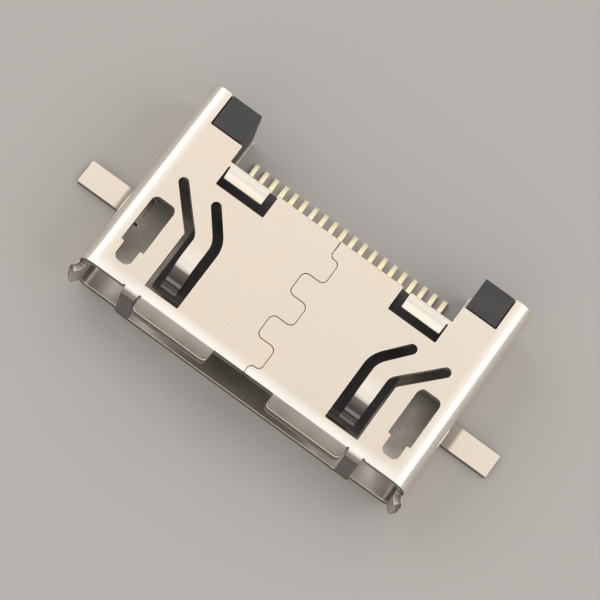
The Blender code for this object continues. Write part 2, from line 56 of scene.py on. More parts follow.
# How far past a whole number of facets a bend may be.
FACET_SLACK = 1e-6
# Places of the blank's mesh nearer than this are joined, in millimetres.
MESH_TIE = 1e-5
# In how many steps the edges of the housing and the contacts are rounded.
ROUND_STEPS = 2
# Scale of the rolling grain along and across the sheet, for each millimetre.
ROLLING_GRAIN = (0.7, 26.0, 1.0)
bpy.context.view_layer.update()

Path = list[Vector]
Line = tuple[Vector, Vector]
Colour = tuple[float, float, float]
Socket = bpy.types.NodeSocket


class Slot(Enum):
    """Material slots of the record that pieces take their finish from."""

    NICKEL = "nickel_plate"
    RESIN = "black_resin"
    GOLD = "gold_plate"


class SheetFace(IntEnum):
    """Faces of the sheet, by the place of their finish on the shell's mesh."""

    OUTER = 0
    CUT = 1
    INNER = 2


class Plane(Enum):
    """Planes that a flat outline can be turned into, as the rotation that takes it there."""

    XZ = ((1, 0, 0), (0, 0, -1), (0, 1, 0))
    YZ = ((0, 0, 1), (1, 0, 0), (0, 1, 0))

    def matrix(self) -> Matrix:
        """The rotation as a matrix that an object can take."""
        return Matrix(self.value).to_4x4()


class Operation(Enum):
    """What a helper solid does to the moulding."""

    JOIN = "UNION"
    CUT = "DIFFERENCE"


class Maths(Enum):
    """What a maths node does with its values."""

    ADD = "ADD"
    TIMES = "MULTIPLY"
    LARGER = "MAXIMUM"
    SIZE = "ABSOLUTE"


class Run(NamedTuple):
    """One run of a bent strip.

    Attributes:
        length: Length along the middle of the sheet, in metres.
        turn: Angle it turns through, in radians. Up or outward is positive.
    """

    length: float
    turn: float = 0.0

    @classmethod
    def bend(cls, radius: float, degrees: float) -> "Run":
        """A run that turns on a radius, measured to the middle of the sheet."""
        turn = math.radians(degrees)
        return cls(radius * abs(turn), turn)


@dataclass(frozen=True)
class Strip:
    """A strip of sheet that is bent run by run.

    Attributes:
        runs: Its runs, from its start to its end.
    """

    runs: tuple[Run, ...]

    @property
    def length(self) -> float:
        """Whole length of the strip along the middle of the sheet."""
        return sum(run.length for run in self.runs)

    def follow(self, distance: float) -> tuple[float, float, float, bool]:
        """Follows the strip from its start.

        Args:
            distance: How far to go along the strip.

        Returns:
            How far it has advanced and risen, its heading, and whether it is turning there.
        """
        advance, rise, heading, bent = 0.0, 0.0, 0.0, False
        for run in (*self.runs, Run(distance)):
            step = min(run.length, distance)
            bent = run.turn != 0
            if bent:
                radius = run.length / run.turn
                ahead = heading + run.turn * step / run.length
                advance += radius * (math.sin(ahead) - math.sin(heading))
                rise += radius * (math.cos(heading) - math.cos(ahead))
                heading = ahead
            else:
                advance += step * math.cos(heading)
                rise += step * math.sin(heading)
            distance -= step
            if distance <= 0:
                break
        return advance, rise, heading, bent

    def stations(self) -> list[float]:
        """Finds where the strip's facets meet.

        Returns:
            Distances along the strip, from its start to its end.
        """
        found, done = [0.0], 0.0
        for run in self.runs:
            steps = max(1, math.ceil(abs(run.turn) / FACET_TURN - FACET_SLACK))
            found += [done + run.length * i / steps for i in range(1, steps + 1)]
            done += run.length
        return found


@dataclass(frozen=True)
class Flap:
    """A stretch of the blank that folds about a hinge across it, from there to its front end.

    Attributes:
        low: Where it starts across the blank.
        high: Where it ends across the blank.
        hinge: Where it starts to fold along the blank.
        strip: Its folds.
        margin: How far beside it the blank is taken along.
        painted_shade: Drops below the roof between which its plate is painted dark as shade in the mouth, or
            none.
    """

    low: float
    high: float
    hinge: float
    strip: Strip
    margin: float
    # Drops between which the plate is painted dark as shade in the mouth.
    painted_shade: tuple[float, float] | None = None

    def holds(self, s: float, v: float) -> bool:
        """Whether a place on one half of the blank is on this flap."""
        end = self.hinge - self.strip.length
        return self.low - self.margin < s < self.high + self.margin and end - WELD < v < self.hinge

    def shade(self, drop: float) -> float:
        """Finds how much painted shade darkens the plate.

        Args:
            drop: How far the place has folded down below the roof.

        Returns:
            How much painted shade darkens it, from 0 to 1.
        """
        if self.painted_shade is None:
            return 0.0
        start, full = self.painted_shade
        return min(1.0, max(0.0, (drop - start) / (full - start)))

    def lines(self) -> list[Line]:
        """Finds the flap's fold lines.

        Returns:
            The lines on one half of the blank, a little longer than the flap is wide.
        """
        low, high = self.low - self.margin, self.high + self.margin
        places = [self.hinge - distance for distance in self.strip.stations()]
        return [(Vector((low, v)), Vector((high, v))) for v in places]


@dataclass(frozen=True)
class Pen:
    """Draws paths and outlines.

    Attributes:
        arc_steps: In how many steps it draws a rounded corner.
        most: Most of a side that one corner may take up.
    """

    arc_steps: int = 6
    most: float = 0.45

    def path(self, points: Sequence[Sequence[float]], radius: float) -> Path:
        """Draws a path with rounded corners.

        Args:
            points: Corners of the path. One may carry its own radius as a third value.
            radius: Radius of every other corner.

        Returns:
            The path's places.
        """
        corners = [(Vector(p[:2]), p[2] if len(p) > 2 else radius) for p in points]
        path = [corners[0][0]]
        for (before, _), (corner, wanted), (after, _) in zip(corners, corners[1:], corners[2:]):
            back, ahead = before - corner, after - corner
            half = back.angle(ahead) / 2
            reach = min(wanted / math.tan(half), self.most * back.length, self.most * ahead.length)
            if reach < 10 * WELD:
                path.append(corner)
                continue
            start, end = corner + back.normalized() * reach, corner + ahead.normalized() * reach
            inward = (back.normalized() + ahead.normalized()).normalized()
            middle = corner + inward * reach / math.cos(half)
            for i in range(self.arc_steps + 1):
                arm = (start - middle).lerp(end - middle, i / self.arc_steps)
                path.append(middle + arm.normalized() * (start - middle).length)
        return path + [corners[-1][0]]

    def loop(self, points: Sequence[Sequence[float]], radius: float) -> Path:
        """Draws a closed outline with every corner rounded."""
        return self.path([points[-1], *points, points[0]], radius)[1:-1]

    def beside(self, path: Path, distance: float) -> Path:
        """Moves a path sideways.

        Args:
            path: The path.
            distance: How far to move it to its left.

        Returns:
            The moved path.
        """
        moved = []
        for i, point in enumerate(path):
            ahead = path[min(i + 1, len(path) - 1)] - path[max(i - 1, 0)]
            moved.append(point + Vector((-ahead.y, ahead.x)).normalized() * distance)
        return moved

    def round_end(self, centre: Vector, left: Vector) -> Path:
        """Draws the round back of a slot's start.

        Args:
            centre: Middle of the slot's start.
            left: Where the slot's left edge starts.

        Returns:
            Places from the right edge round to the left edge, without either.
        """
        steps = 2 * self.arc_steps
        arm, turn = left - centre, math.pi / steps
        return [centre + Matrix.Rotation(turn * i, 2) @ arm for i in range(steps - 1, 0, -1)]


def flipped(path: Path) -> Path:
    """A path of one half of the blank, on its other half."""
    return [Vector((-p.x, p.y)) for p in path]


@dataclass
class Outline:
    """A closed edge of the metal on the flat blank.

    Attributes:
        points: Places along the edge, in order.
        hole: Whether the metal lies outside the outline.
        arms: How far each place moves as the outline moves into the metal, for each metre.
        turned_back: Length below which the sum of two directions gives none between them.
        longest: How many times as far as the edge itself a corner may move.
    """

    points: Path
    hole: bool = False
    arms: Path = field(default_factory=list)
    turned_back: ClassVar[float] = 1e-3
    longest: ClassVar[float] = 2.0

    def __post_init__(self) -> None:
        """Drops repeated places, and turns a new outline so that the metal is on its left."""
        apart = [(p - q).length > WELD for p, q in zip(self.points, self.points[1:] + self.points[:1])]
        kept = [p for p, far in zip(self.points, apart) if far]
        if self.arms:
            self.points, self.arms = kept, [arm for arm, far in zip(self.arms, apart) if far]
            return
        area = sum(p.x * q.y - p.y * q.x for p, q in zip(kept, kept[1:] + kept[:1]))
        self.points = kept if (area > 0) != self.hole else kept[::-1]
        self.arms = [way * longer for way, longer in self.inward()]

    def mirrored(self) -> "Outline":
        """The same outline on the blank's other half."""
        return Outline(flipped(self.points), self.hole)

    def cut_at(self, lines: Iterable[Line], distance: float) -> "Outline":
        """Adds a place wherever a fold line crosses the outline moved into the metal.

        Args:
            lines: Fold lines, each along one of the blank's two directions.
            distance: How far the outline is moved for this.

        Returns:
            The outline with the added places, not moved.
        """
        a = np.array([p[:] for p in self.inset(distance)])
        b = np.roll(a, -1, axis=0)
        shares: list[list[float]] = [[] for _ in self.points]
        for start, end in lines:
            axis = 0 if start.x == end.x else 1
            other = 1 - axis
            side_a, side_b = a[:, axis] - start[axis], b[:, axis] - start[axis]
            crossed = np.nonzero(side_a * side_b < 0)[0]
            low, high = sorted((start[other], end[other]))
            for i in crossed:
                share = side_a[i] / (side_a[i] - side_b[i])
                place = a[i, other] + share * (b[i, other] - a[i, other])
                if low < place < high:
                    shares[i].append(float(share))
        points, arms = [], []
        for i, found in enumerate(shares):
            ahead = (i + 1) % len(self.points)
            for share in [0.0, *sorted(found)]:
                points.append(self.points[i].lerp(self.points[ahead], share))
                arms.append(self.arms[i].lerp(self.arms[ahead], share))
        return Outline(points, self.hole, arms)

    def inward(self) -> list[tuple[Vector, float]]:
        """Finds the way into the metal.

        Returns:
            For each place, the direction into the metal and how much further than the edge it moves.
        """
        found = []
        for i, point in enumerate(self.points):
            back = (point - self.points[i - 1]).normalized()
            ahead = (self.points[(i + 1) % len(self.points)] - point).normalized()
            both = back + ahead
            if both.length < self.turned_back:
                both = back
            both = both.normalized()
            found.append((Vector((-both.y, both.x)), 1 / max(1 / self.longest, both.dot(ahead))))
        return found

    def inset(self, distance: float) -> Path:
        """The outline moved into the metal."""
        return [point + arm * distance for point, arm in zip(self.points, self.arms)]


class Spot(NamedTuple):
    """One place of the folded sheet.

    Attributes:
        place: Where it is.
        normal: Which way its surface faces.
        strain: How much the sheet is bent and strained there, from 0 to 1.
        shade: How much painted shade darkens its plate there, from 0 to 1.
    """

    place: Vector
    normal: Vector
    strain: float
    shade: float


@dataclass
class Surface:
    """Collects the vertices and faces of one folded sheet.

    Attributes:
        verts: Where the vertices are.
        normals: Which way the surface faces at each of them.
        maps: Their places on the flat sheet, in millimetres.
        strain: How much the sheet is bent and strained at each of them.
        shade: How much painted shade darkens its plate at each of them.
        faces: The vertices of each face.
        finishes: The finish of each face, by its place on the mesh.
    """

    verts: list[Vector] = field(default_factory=list)
    normals: list[Vector] = field(default_factory=list)
    maps: list[tuple[float, float]] = field(default_factory=list)
    strain: list[float] = field(default_factory=list)
    shade: list[float] = field(default_factory=list)
    faces: list[tuple[int, ...]] = field(default_factory=list)
    finishes: list[int] = field(default_factory=list)

    def add_vert(self, spot: Spot, flat: tuple[float, float]) -> int:
        """Adds a vertex.

        Args:
            spot: Where it is and what the sheet is like there.
            flat: Its place on the flat sheet, in millimetres.

        Returns:
            The vertex's number.
        """
        self.verts.append(spot.place)
        self.normals.append(spot.normal)
        self.strain.append(spot.strain)
        self.shade.append(spot.shade)
        self.maps.append(flat)
        return len(self.verts) - 1

    def add_face(self, corners: tuple[int, ...], face: SheetFace) -> None:
        """Adds a face of the mesh, on one of the sheet's faces."""
        self.faces.append(corners)
        self.finishes.append(int(face))

    def mesh(self, name: str) -> bpy.types.Mesh:
        """Makes the mesh, shaded smooth by the collected normals.

        Args:
            name: The mesh's name.

        Returns:
            The mesh.
        """
        mesh = bpy.data.meshes.new(name)
        mesh.from_pydata(self.verts, [], self.faces)
        mesh.polygons.foreach_set("use_smooth", [True] * len(self.faces))
        mesh.polygons.foreach_set("material_index", self.finishes)
        layer = mesh.uv_layers.new(name="sheet")
        corners = np.empty(len(mesh.loops), dtype=np.int32)
        mesh.loops.foreach_get("vertex_index", corners)
        layer.data.foreach_set("uv", np.array(self.maps, dtype=np.float32)[corners].ravel())
        for kind, values in (("strain", self.strain), ("shade", self.shade)):
            mesh.attributes.new(kind, "FLOAT", "POINT").data.foreach_set("value", values)
        mesh.normals_split_custom_set_from_vertices(self.normals)
        return mesh


@dataclass
class Sizes:
    """Sizes that the shell, the housing and the contacts share, in metres.

    Attributes:
        count: Number of contacts.
        pitch: Distance between contacts.
        side_room: Room from the row of contacts to the shell's side.
        length: Length of the shell without its lips.
        height: Height of the shell.
        sheet: Thickness of the shell's sheet.
        corner: Outer radius of the shell's long edges.
        lip_reach: How far the lips reach in front of the roof.
        tongue_bottom: Height of the tongue's underside.
        proud: How far the contacts stand proud of the tongue.
        post_cut_inset: Inset of the cuts that the rear posts fill.
        post_cut_front: Front of those cuts, back from the roof's front edge.
        flap_cut_outer: Outer inset of the cuts round the rear flaps.
        flap_cut_inner: Inner inset of those cuts.
        flap_hinge: Where the rear flaps fold, back from the roof's front edge.
    """

    count: int = 20
    pitch: float = 0.0004
    side_room: float = 0.0023
    length: float = 0.0073
    height: float = 0.00275
    sheet: float = 0.00025
    corner: float = 0.0005
    lip_reach: float = 0.00062
    tongue_bottom: float = 0.00098
    proud: float = 0.00003
    post_cut_inset: float = 0.00069
    post_cut_front: float = 0.00605
    flap_cut_outer: float = 0.002
    flap_cut_inner: float = 0.00385
    flap_hinge: float = 0.00524

    @property
    def row(self) -> float:
        """Width of the row of contacts."""
        return self.count * self.pitch

    @property
    def half(self) -> float:
        """Half the shell's width."""
        return self.row / 2 + self.side_room

    @property
    def front(self) -> float:
        """Where the roof's front edge lies along Y."""
        return (self.lip_reach - self.length) / 2

    def contact_xs(self) -> list[float]:
        """Where each contact lies along X."""
        first = -(self.count - 1) / 2 * self.pitch
        return [first + i * self.pitch for i in range(self.count)]

    def across(self, side: int, *insets: float) -> list[float]:
        """Insets from one side of the shell as X, lowest first."""
        return sorted(side * (self.half - inset) for inset in insets)

    def along(self, points: Iterable[tuple[float, float]]) -> Path:
        """A side view, given as distance back from the front edge and height, as Y and Z."""
        return [Vector((self.front + v, z)) for v, z in points]


class NodeSketch:
    """Short ways to lay out nodes."""

    def __init__(self, tree: bpy.types.NodeTree) -> None:
        """Starts to work on one node tree."""
        self.tree = tree

    def node(self, kind: str, **settings: object) -> bpy.types.Node:
        """Adds a node and sets its properties.

        Args:
            kind: The node's type name.
            **settings: Properties to set on it.

        Returns:
            The node.
        """
        node = self.tree.nodes.new(kind)
        for key, value in settings.items():
            setattr(node, key, value)
        return node

    def link(self, source: Socket, target: Socket) -> None:
        """Links two sockets."""
        self.tree.links.new(source, target)

    def coordinates(self, source: str, scale: tuple[float, float, float]) -> Socket:
        """Gives scaled coordinates.

        Args:
            source: Output of the Texture Coordinate node, such as Object or UV.
            scale: Scale along each direction.

        Returns:
            The scaled coordinates.
        """
        where = self.node("ShaderNodeTexCoord")
        mapping = self.node("ShaderNodeMapping")
        mapping.inputs["Scale"].default_value = scale
        self.link(where.outputs[source], mapping.inputs["Vector"])
        return mapping.outputs["Vector"]

    def noise(self, coordinates: Socket, scale: float, detail: float = 3.0, rough: float = 0.55) -> Socket:
        """Adds a noise texture.

        Args:
            coordinates: Where to read it.
            scale: Its scale.
            detail: How many finer layers it has.
            rough: How strong the finer layers are.

        Returns:
            Its value, from 0 to 1.
        """
        noise = self.node("ShaderNodeTexNoise")
        noise.inputs["Scale"].default_value = scale
        noise.inputs["Detail"].default_value = detail
        noise.inputs["Roughness"].default_value = rough
        self.link(coordinates, noise.inputs["Vector"])
        return noise.outputs["Fac"]

    def spread(self, value: Socket, low: float, high: float, to_low: float, to_high: float) -> Socket:
        """Maps a range of a value to another range, smoothly and without passing its ends.

        Args:
            value: The value.
            low: Start of its range.
            high: End of its range.
            to_low: What the start becomes.
            to_high: What the end becomes.

        Returns:
            The mapped value.
        """
        mapped = self.node("ShaderNodeMapRange", interpolation_type="SMOOTHSTEP")
        for key, number in (("From Min", low), ("From Max", high), ("To Min", to_low), ("To Max", to_high)):
            mapped.inputs[key].default_value = number
        self.link(value, mapped.inputs["Value"])
        return mapped.outputs["Result"]

    def maths(self, operation: Maths, first: Socket, second: Socket | float = 0.0) -> Socket:
        """Combines two values.

        Args:
            operation: What to do with them.
            first: The first value.
            second: The second value, as a socket or a number, where the operation needs one.

        Returns:
            The result.
        """
        maths = self.node("ShaderNodeMath", operation=operation.value)
        self.link(first, maths.inputs[0])
        if isinstance(second, Socket):
            self.link(second, maths.inputs[1])
        else:
            maths.inputs[1].default_value = second
        return maths.outputs[0]

    def blend(
        self,
        share: Socket,
        first: Socket | Colour,
        second: Socket | Colour,
    ) -> Socket:
        """Blends two colours.

        Args:
            share: Share of the second colour.
            first: The first colour, as a socket or as three numbers.
            second: The second colour, likewise.

        Returns:
            The blended colour.
        """
        mix = self.node("ShaderNodeMix", data_type="RGBA")
        self.link(share, mix.inputs["Factor"])
        for key, colour in (("A", first), ("B", second)):
            socket = next(s for s in mix.inputs if s.name == key and s.type == "RGBA")
            if isinstance(colour, Socket):
                self.link(colour, socket)
            else:
                socket.default_value = (*colour, 1.0)
        return next(s for s in mix.outputs if s.type == "RGBA")

    def bump(
        self,
        height: Socket,
        strength: float,
        distance: float,
        under: Socket | None = None,
    ) -> Socket:
        """Adds relief.

        Args:
            height: Height of the relief.
            strength: How strong it is.
            distance: Its depth, in metres.
            under: Normal of a coarser relief below it.

        Returns:
            The normal.
        """
        bump = self.node("ShaderNodeBump")
        bump.inputs["Strength"].default_value = strength
        bump.inputs["Distance"].default_value = distance
        self.link(height, bump.inputs["Height"])
        if under is not None:
            self.link(under, bump.inputs["Normal"])
        return bump.outputs["Normal"]

    def attribute(self, name: str) -> Socket:
        """Reads a value kept on the mesh."""
        return self.node("ShaderNodeAttribute", attribute_name=name).outputs["Fac"]

    def body(self) -> Socket:
        """The place on the object, in millimetres."""
        return self.coordinates("Object", (1 / MM, 1 / MM, 1 / MM))

    def axes(self, coordinates: Socket) -> tuple[Socket, ...]:
        """Splits coordinates into X, Y and Z.

        Args:
            coordinates: The coordinates.

        Returns:
            The three numbers.
        """
        parts = self.node("ShaderNodeSeparateXYZ")
        self.link(coordinates, parts.inputs["Vector"])
        return tuple(parts.outputs)


class MaterialSketch(NodeSketch):
    """Lays out the nodes of one material round its Principled shader."""

    def __init__(self, name: str, **values: float) -> None:
        """Starts the material.

        Args:
            name: The material's name.
            **values: Values for the shader's own sockets, with underscores for spaces in their names.
        """
        self.material = bpy.data.materials.new(name)
        self.material.use_nodes = True
        super().__init__(self.material.node_tree)
        self.shader = self.tree.nodes["Principled BSDF"]
        for key, value in values.items():
            self.shader.inputs[key.replace("_", " ")].default_value = value

    def finish(self, **sockets: Socket) -> bpy.types.Material:
        """Links what was laid out to the shader.

        Args:
            **sockets: What to link, by the shader's sockets with underscores for spaces in their names.

        Returns:
            The finished material.
        """
        for key, socket in sockets.items():
            self.link(socket, self.shader.inputs[key.replace("_", " ")])
        return self.material


@dataclass(frozen=True)
class NickelFinish:
    """Bright nickel plate over rolled sheet, with rolling grain that follows the folds, and painted
    highlights and shade.

    Attributes:
        colour: Its usual colour.
        warm: Colour of its warmer patches.
        speck: Colour of its small dull specks.
        worked_highlight: Colour where the sheet is bent: partly the bent, hardened sheet, partly a painted
            highlight along the bends.
        worked_highlight_share: How far it takes that colour.
        painted_shade: Colour of the painted shade on the plate deep in the mouth.
        painted_shade_share: How far it takes that colour.
        rim_highlight: Colour of the painted highlight along the roof's front rim.
        rim_start: Where that painted highlight starts along Y, in millimetres.
        rim_fade: Where it fades out along Y, in millimetres.
        rim_height: Height at which it starts, in millimetres.
        rim_share: How far it takes that colour.
        shaded: Colour of the painted shadow on the roots of the solder tabs, by the walls.
        root_start: Where those roots start along X, to each side, in millimetres.
        root_fade: Where they fade out along X, in millimetres.
        root_height: Height at which they fade out, in millimetres.
        root_share: How far they take that colour.
        gloss: Roughness of the smoothest patches.
        dull: Roughness of the dullest patches.
    """

    colour: Colour = (0.806, 0.725, 0.624)
    warm: Colour = (0.811, 0.70, 0.586)
    speck: Colour = (0.62, 0.56, 0.48)
    # Partly the bent, hardened sheet, partly painted highlight: the bends are painted brighter than the flat
    # plate.
    worked_highlight: Colour = (0.90, 0.86, 0.79)
    worked_highlight_share: float = 0.7
    # Painted shade: the plate is painted dark where it drops into the mouth, on the spring fingers and guide
    # tabs.
    painted_shade: Colour = (0.13, 0.115, 0.12)
    painted_shade_share: float = 0.88
    # Painted highlight: a near-white colour along the roof's front edge.
    rim_highlight: Colour = (0.97, 0.945, 0.89)
    rim_start: tuple[float, float] = (-3.4, -3.34)
    rim_fade: tuple[float, float] = (-3.3, -2.85)
    rim_height: tuple[float, float] = (2.5, 2.7)
    rim_share: float = 0.8
    # Painted shadow that the walls cast on the solder tabs' roots.
    shaded: Colour = (0.24, 0.22, 0.20)
    root_start: tuple[float, float] = (6.3, 6.34)
    root_fade: tuple[float, float] = (6.58, 6.74)
    root_height: tuple[float, float] = (0.4, 0.6)
    root_share: float = 0.85
    gloss: float = 0.23
    dull: float = 0.3

    def rim(self, sketch: NodeSketch) -> Socket:
        """Finds the painted highlight along the roof's front rim.

        Args:
            sketch: The material being made.

        Returns:
            How much painted highlight a place takes, from 0 to 1.
        """
        _, y, z = sketch.axes(sketch.body())
        behind = sketch.spread(y, *self.rim_fade, self.rim_share, 0.0)
        before = sketch.spread(y, *self.rim_start, 0.0, 1.0)
        near = sketch.maths(Maths.TIMES, behind, before)
        return sketch.maths(Maths.TIMES, near, sketch.spread(z, *self.rim_height, 0.0, 1.0))

    def tab_root_shadow(self, sketch: NodeSketch) -> Socket:
        """Finds the painted shadow on the roots of the solder tabs, where they leave the walls.

        Args:
            sketch: The material being made.

        Returns:
            How much painted shadow a place takes, from 0 to 1.
        """
        x, _, z = sketch.axes(sketch.body())
        out = sketch.maths(Maths.SIZE, x)
        begun = sketch.spread(out, *self.root_start, 0.0, 1.0)
        band = sketch.maths(Maths.TIMES, begun, sketch.spread(out, *self.root_fade, 1.0, 0.0))
        return sketch.maths(Maths.TIMES, band, sketch.spread(z, *self.root_height, self.root_share, 0.0))

    def tone(self, sketch: NodeSketch, patches: Socket, specks: Socket, strain: Socket) -> Socket:
        """Mixes the plate's colour, with its painted highlights and painted shade.

        Args:
            sketch: The material being made.
            patches: Broad patches, from 0 to 1.
            specks: Small specks, from 0 to 1.
            strain: How much the sheet is bent and strained, from 0 to 1.

        Returns:
            The colour.
        """
        shade = sketch.attribute("shade")
        tone = sketch.blend(sketch.spread(patches, 0.35, 0.65, 0.0, 1.0), self.colour, self.warm)
        tone = sketch.blend(sketch.spread(specks, 0.64, 0.8, 0.0, 0.16), tone, self.speck)
        # Bends painted brighter: partly the bent, hardened sheet, partly painted highlight.
        tone = sketch.blend(sketch.maths(Maths.TIMES, strain, self.worked_highlight_share), tone, self.worked_highlight)
        # Painted highlight along the roof's front edge.
        tone = sketch.blend(self.rim(sketch), tone, self.rim_highlight)
        # Painted shadow on the solder tabs' roots, by the walls.
        tone = sketch.blend(self.tab_root_shadow(sketch), tone, self.shaded)
        # Painted shade on the plate where it drops into the mouth.
        return sketch.blend(sketch.maths(Maths.TIMES, shade, self.painted_shade_share), tone, self.painted_shade)

    def material(self) -> bpy.types.Material:
        """Makes the material.

        Returns:
            The material.
        """
        sketch = MaterialSketch("nickel_plate_rolled", Metallic=1.0)
        body = sketch.body()
        patches = sketch.noise(body, 0.55, 2.0)
        specks = sketch.noise(body, 22.0, 2.0, 0.6)
        grain = sketch.noise(sketch.coordinates("UV", ROLLING_GRAIN), 1.0, 4.0, 0.6)
        scratches = sketch.noise(sketch.coordinates("UV", (2.5, 90.0, 1.0)), 1.0, 2.0, 0.7)
        strain = sketch.attribute("strain")
        rough = sketch.spread(patches, 0.3, 0.7, self.gloss, self.dull)
        for more in (
            sketch.spread(grain, 0.3, 0.7, -0.02, 0.02),
            sketch.spread(scratches, 0.55, 0.75, 0.0, 0.05),
            sketch.maths(Maths.TIMES, strain, 0.06),
        ):
            rough = sketch.maths(Maths.ADD, rough, more)
        relief = sketch.bump(grain, 0.045, 4 * MICRON)
        relief = sketch.bump(scratches, 0.04, 2 * MICRON, relief)
        relief = sketch.bump(specks, 0.03, 4 * MICRON, relief)
        tone = self.tone(sketch, patches, specks, strain)
        return sketch.finish(Base_Color=tone, Roughness=rough, Normal=relief)


@dataclass(frozen=True)
class InnerShadeFinish:
    """The plate on the sheet's inner face: rougher, and darker in colour as painted shade.

    Attributes:
        colour: Its usual colour, darker than the outer plate as painted shade.
        stained: Colour of its stained patches.
    """

    # Painted shade: the inner face is a darker copy of the nickel plate.
    colour: Colour = (0.66, 0.61, 0.55)
    stained: Colour = (0.48, 0.44, 0.39)

    def material(self) -> bpy.types.Material:
        """Makes the material.

        Returns:
            The material.
        """
        sketch = MaterialSketch("nickel_plate_inner_shade", Metallic=1.0)
        patches = sketch.noise(sketch.body(), 0.9, 3.0)
        grain = sketch.noise(sketch.coordinates("UV", ROLLING_GRAIN), 1.0, 4.0, 0.6)
        tone = sketch.blend(sketch.spread(patches, 0.35, 0.65, 0.0, 1.0), self.colour, self.stained)
        rough = sketch.spread(patches, 0.3, 0.7, 0.3, 0.42)
        rough = sketch.maths(Maths.ADD, rough, sketch.spread(grain, 0.3, 0.7, -0.03, 0.05))
        relief = sketch.bump(grain, 0.12, 4 * MICRON)
        return sketch.finish(Base_Color=tone, Roughness=rough, Normal=relief)


@dataclass(frozen=True)
class ShearedFinish:
    """The cut edge of the sheet: a smooth, polished shear band above, and a torn band below it.

    Attributes:
        bright: Colour of the polished shear band.
        torn: Colour of the torn band.
        border: Depths between which one band becomes the other, in millimetres.
    """

    bright: Colour = (0.36, 0.33, 0.29)
    torn: Colour = (0.20, 0.18, 0.16)
    border: tuple[float, float] = (0.10, 0.13)

    def material(self) -> bpy.types.Material:
        """Makes the material.

        Returns:
            The material.
        """
        sketch = MaterialSketch("nickel_plate_sheared", Metallic=1.0)
        strokes = sketch.noise(sketch.coordinates("UV", (38.0, 1.2, 1.0)), 1.0, 3.0, 0.6)
        tears = sketch.noise(sketch.coordinates("UV", (9.0, 14.0, 1.0)), 1.0, 4.0, 0.7)
        _, depth, _ = sketch.axes(sketch.coordinates("UV", (1.0, 1.0, 1.0)))
        depth = sketch.maths(Maths.ADD, depth, sketch.spread(tears, 0.3, 0.7, -0.03, 0.03))
        band = sketch.spread(depth, *self.border, 1.0, 0.0)
        tone = sketch.blend(band, self.bright, self.torn)
        tone = sketch.blend(sketch.spread(strokes, 0.4, 0.7, 0.0, 0.3), tone, self.torn)
        rough = sketch.spread(band, 0.0, 1.0, 0.28, 0.5)
        rough = sketch.maths(Maths.ADD, rough, sketch.spread(strokes, 0.3, 0.7, 0.0, 0.08))
        relief = sketch.bump(tears, 0.25, 6 * MICRON, sketch.bump(strokes, 0.2, 4 * MICRON))
        return sketch.finish(Base_Color=tone, Roughness=rough, Normal=relief)


@dataclass(frozen=True)
class ResinFinish:
    """Black glass-filled resin from a spark-eroded mould.

    Attributes:
        colour: Its usual colour.
        pale: Colour of its paler flow marks.
        fibre: Colour of the glass fibres at its surface.
    """

    colour: Colour = (0.050, 0.046, 0.048)
    pale: Colour = (0.085, 0.078, 0.079)
    fibre: Colour = (0.12, 0.115, 0.115)

    def material(self) -> bpy.types.Material:
        """Makes the material.

        Returns:
            The material.
        """
        sketch = MaterialSketch("black_resin_moulded", Specular_IOR_Level=0.45)
        flow = sketch.noise(sketch.coordinates("Object", (300, 1500, 700)), 1.0, 4.0, 0.6)
        fibres = sketch.noise(sketch.coordinates("Object", (9000, 30000, 9000)), 1.0, 2.0, 0.5)
        spark = sketch.noise(sketch.body(), 28.0, 3.0, 0.65)
        tone = sketch.blend(sketch.spread(flow, 0.35, 0.7, 0.0, 0.6), self.colour, self.pale)
        tone = sketch.blend(sketch.spread(fibres, 0.62, 0.75, 0.0, 0.5), tone, self.fibre)
        rough = sketch.spread(flow, 0.3, 0.7, 0.42, 0.56)
        rough = sketch.maths(Maths.ADD, rough, sketch.spread(spark, 0.3, 0.7, -0.05, 0.08))
        relief = sketch.bump(fibres, 0.15, 4 * MICRON, sketch.bump(spark, 0.35, 8 * MICRON))
        return sketch.finish(Base_Color=tone, Roughness=rough, Normal=relief)


@dataclass(frozen=True)
class GoldFinish:
    """Thin pale gold plate over nickel, with patches where it is thinner.

    Attributes:
        colour: Its usual colour.
        worn: Colour of its thinner patches.
        deep: Colour of its deeper streaks.
    """

    colour: Colour = (0.91, 0.79, 0.53)
    worn: Colour = (0.87, 0.81, 0.67)
    deep: Colour = (0.78, 0.64, 0.40)

    def material(self) -> bpy.types.Material:
        """Makes the material.

        Returns:
            The material.
        """
        sketch = MaterialSketch("gold_plate_thin", Metallic=1.0)
        body = sketch.body()
        streaks = sketch.noise(sketch.coordinates("Object", (16000, 900, 16000)), 1.0, 3.0, 0.6)
        patches = sketch.noise(body, 1.6, 2.0)
        grain = sketch.noise(body, 30.0, 2.0, 0.6)
        tone = sketch.blend(sketch.spread(patches, 0.4, 0.7, 0.0, 0.7), self.colour, self.worn)
        tone = sketch.blend(sketch.spread(streaks, 0.55, 0.75, 0.0, 0.25), tone, self.deep)
        rough = sketch.spread(patches, 0.3, 0.7, 0.2, 0.3)
        rough = sketch.maths(Maths.ADD, rough, sketch.spread(streaks, 0.3, 0.7, -0.02, 0.06))
        relief = sketch.bump(grain, 0.04, 2 * MICRON, sketch.bump(streaks, 0.05, 2 * MICRON))
        return sketch.finish(Base_Color=tone, Roughness=rough, Normal=relief)


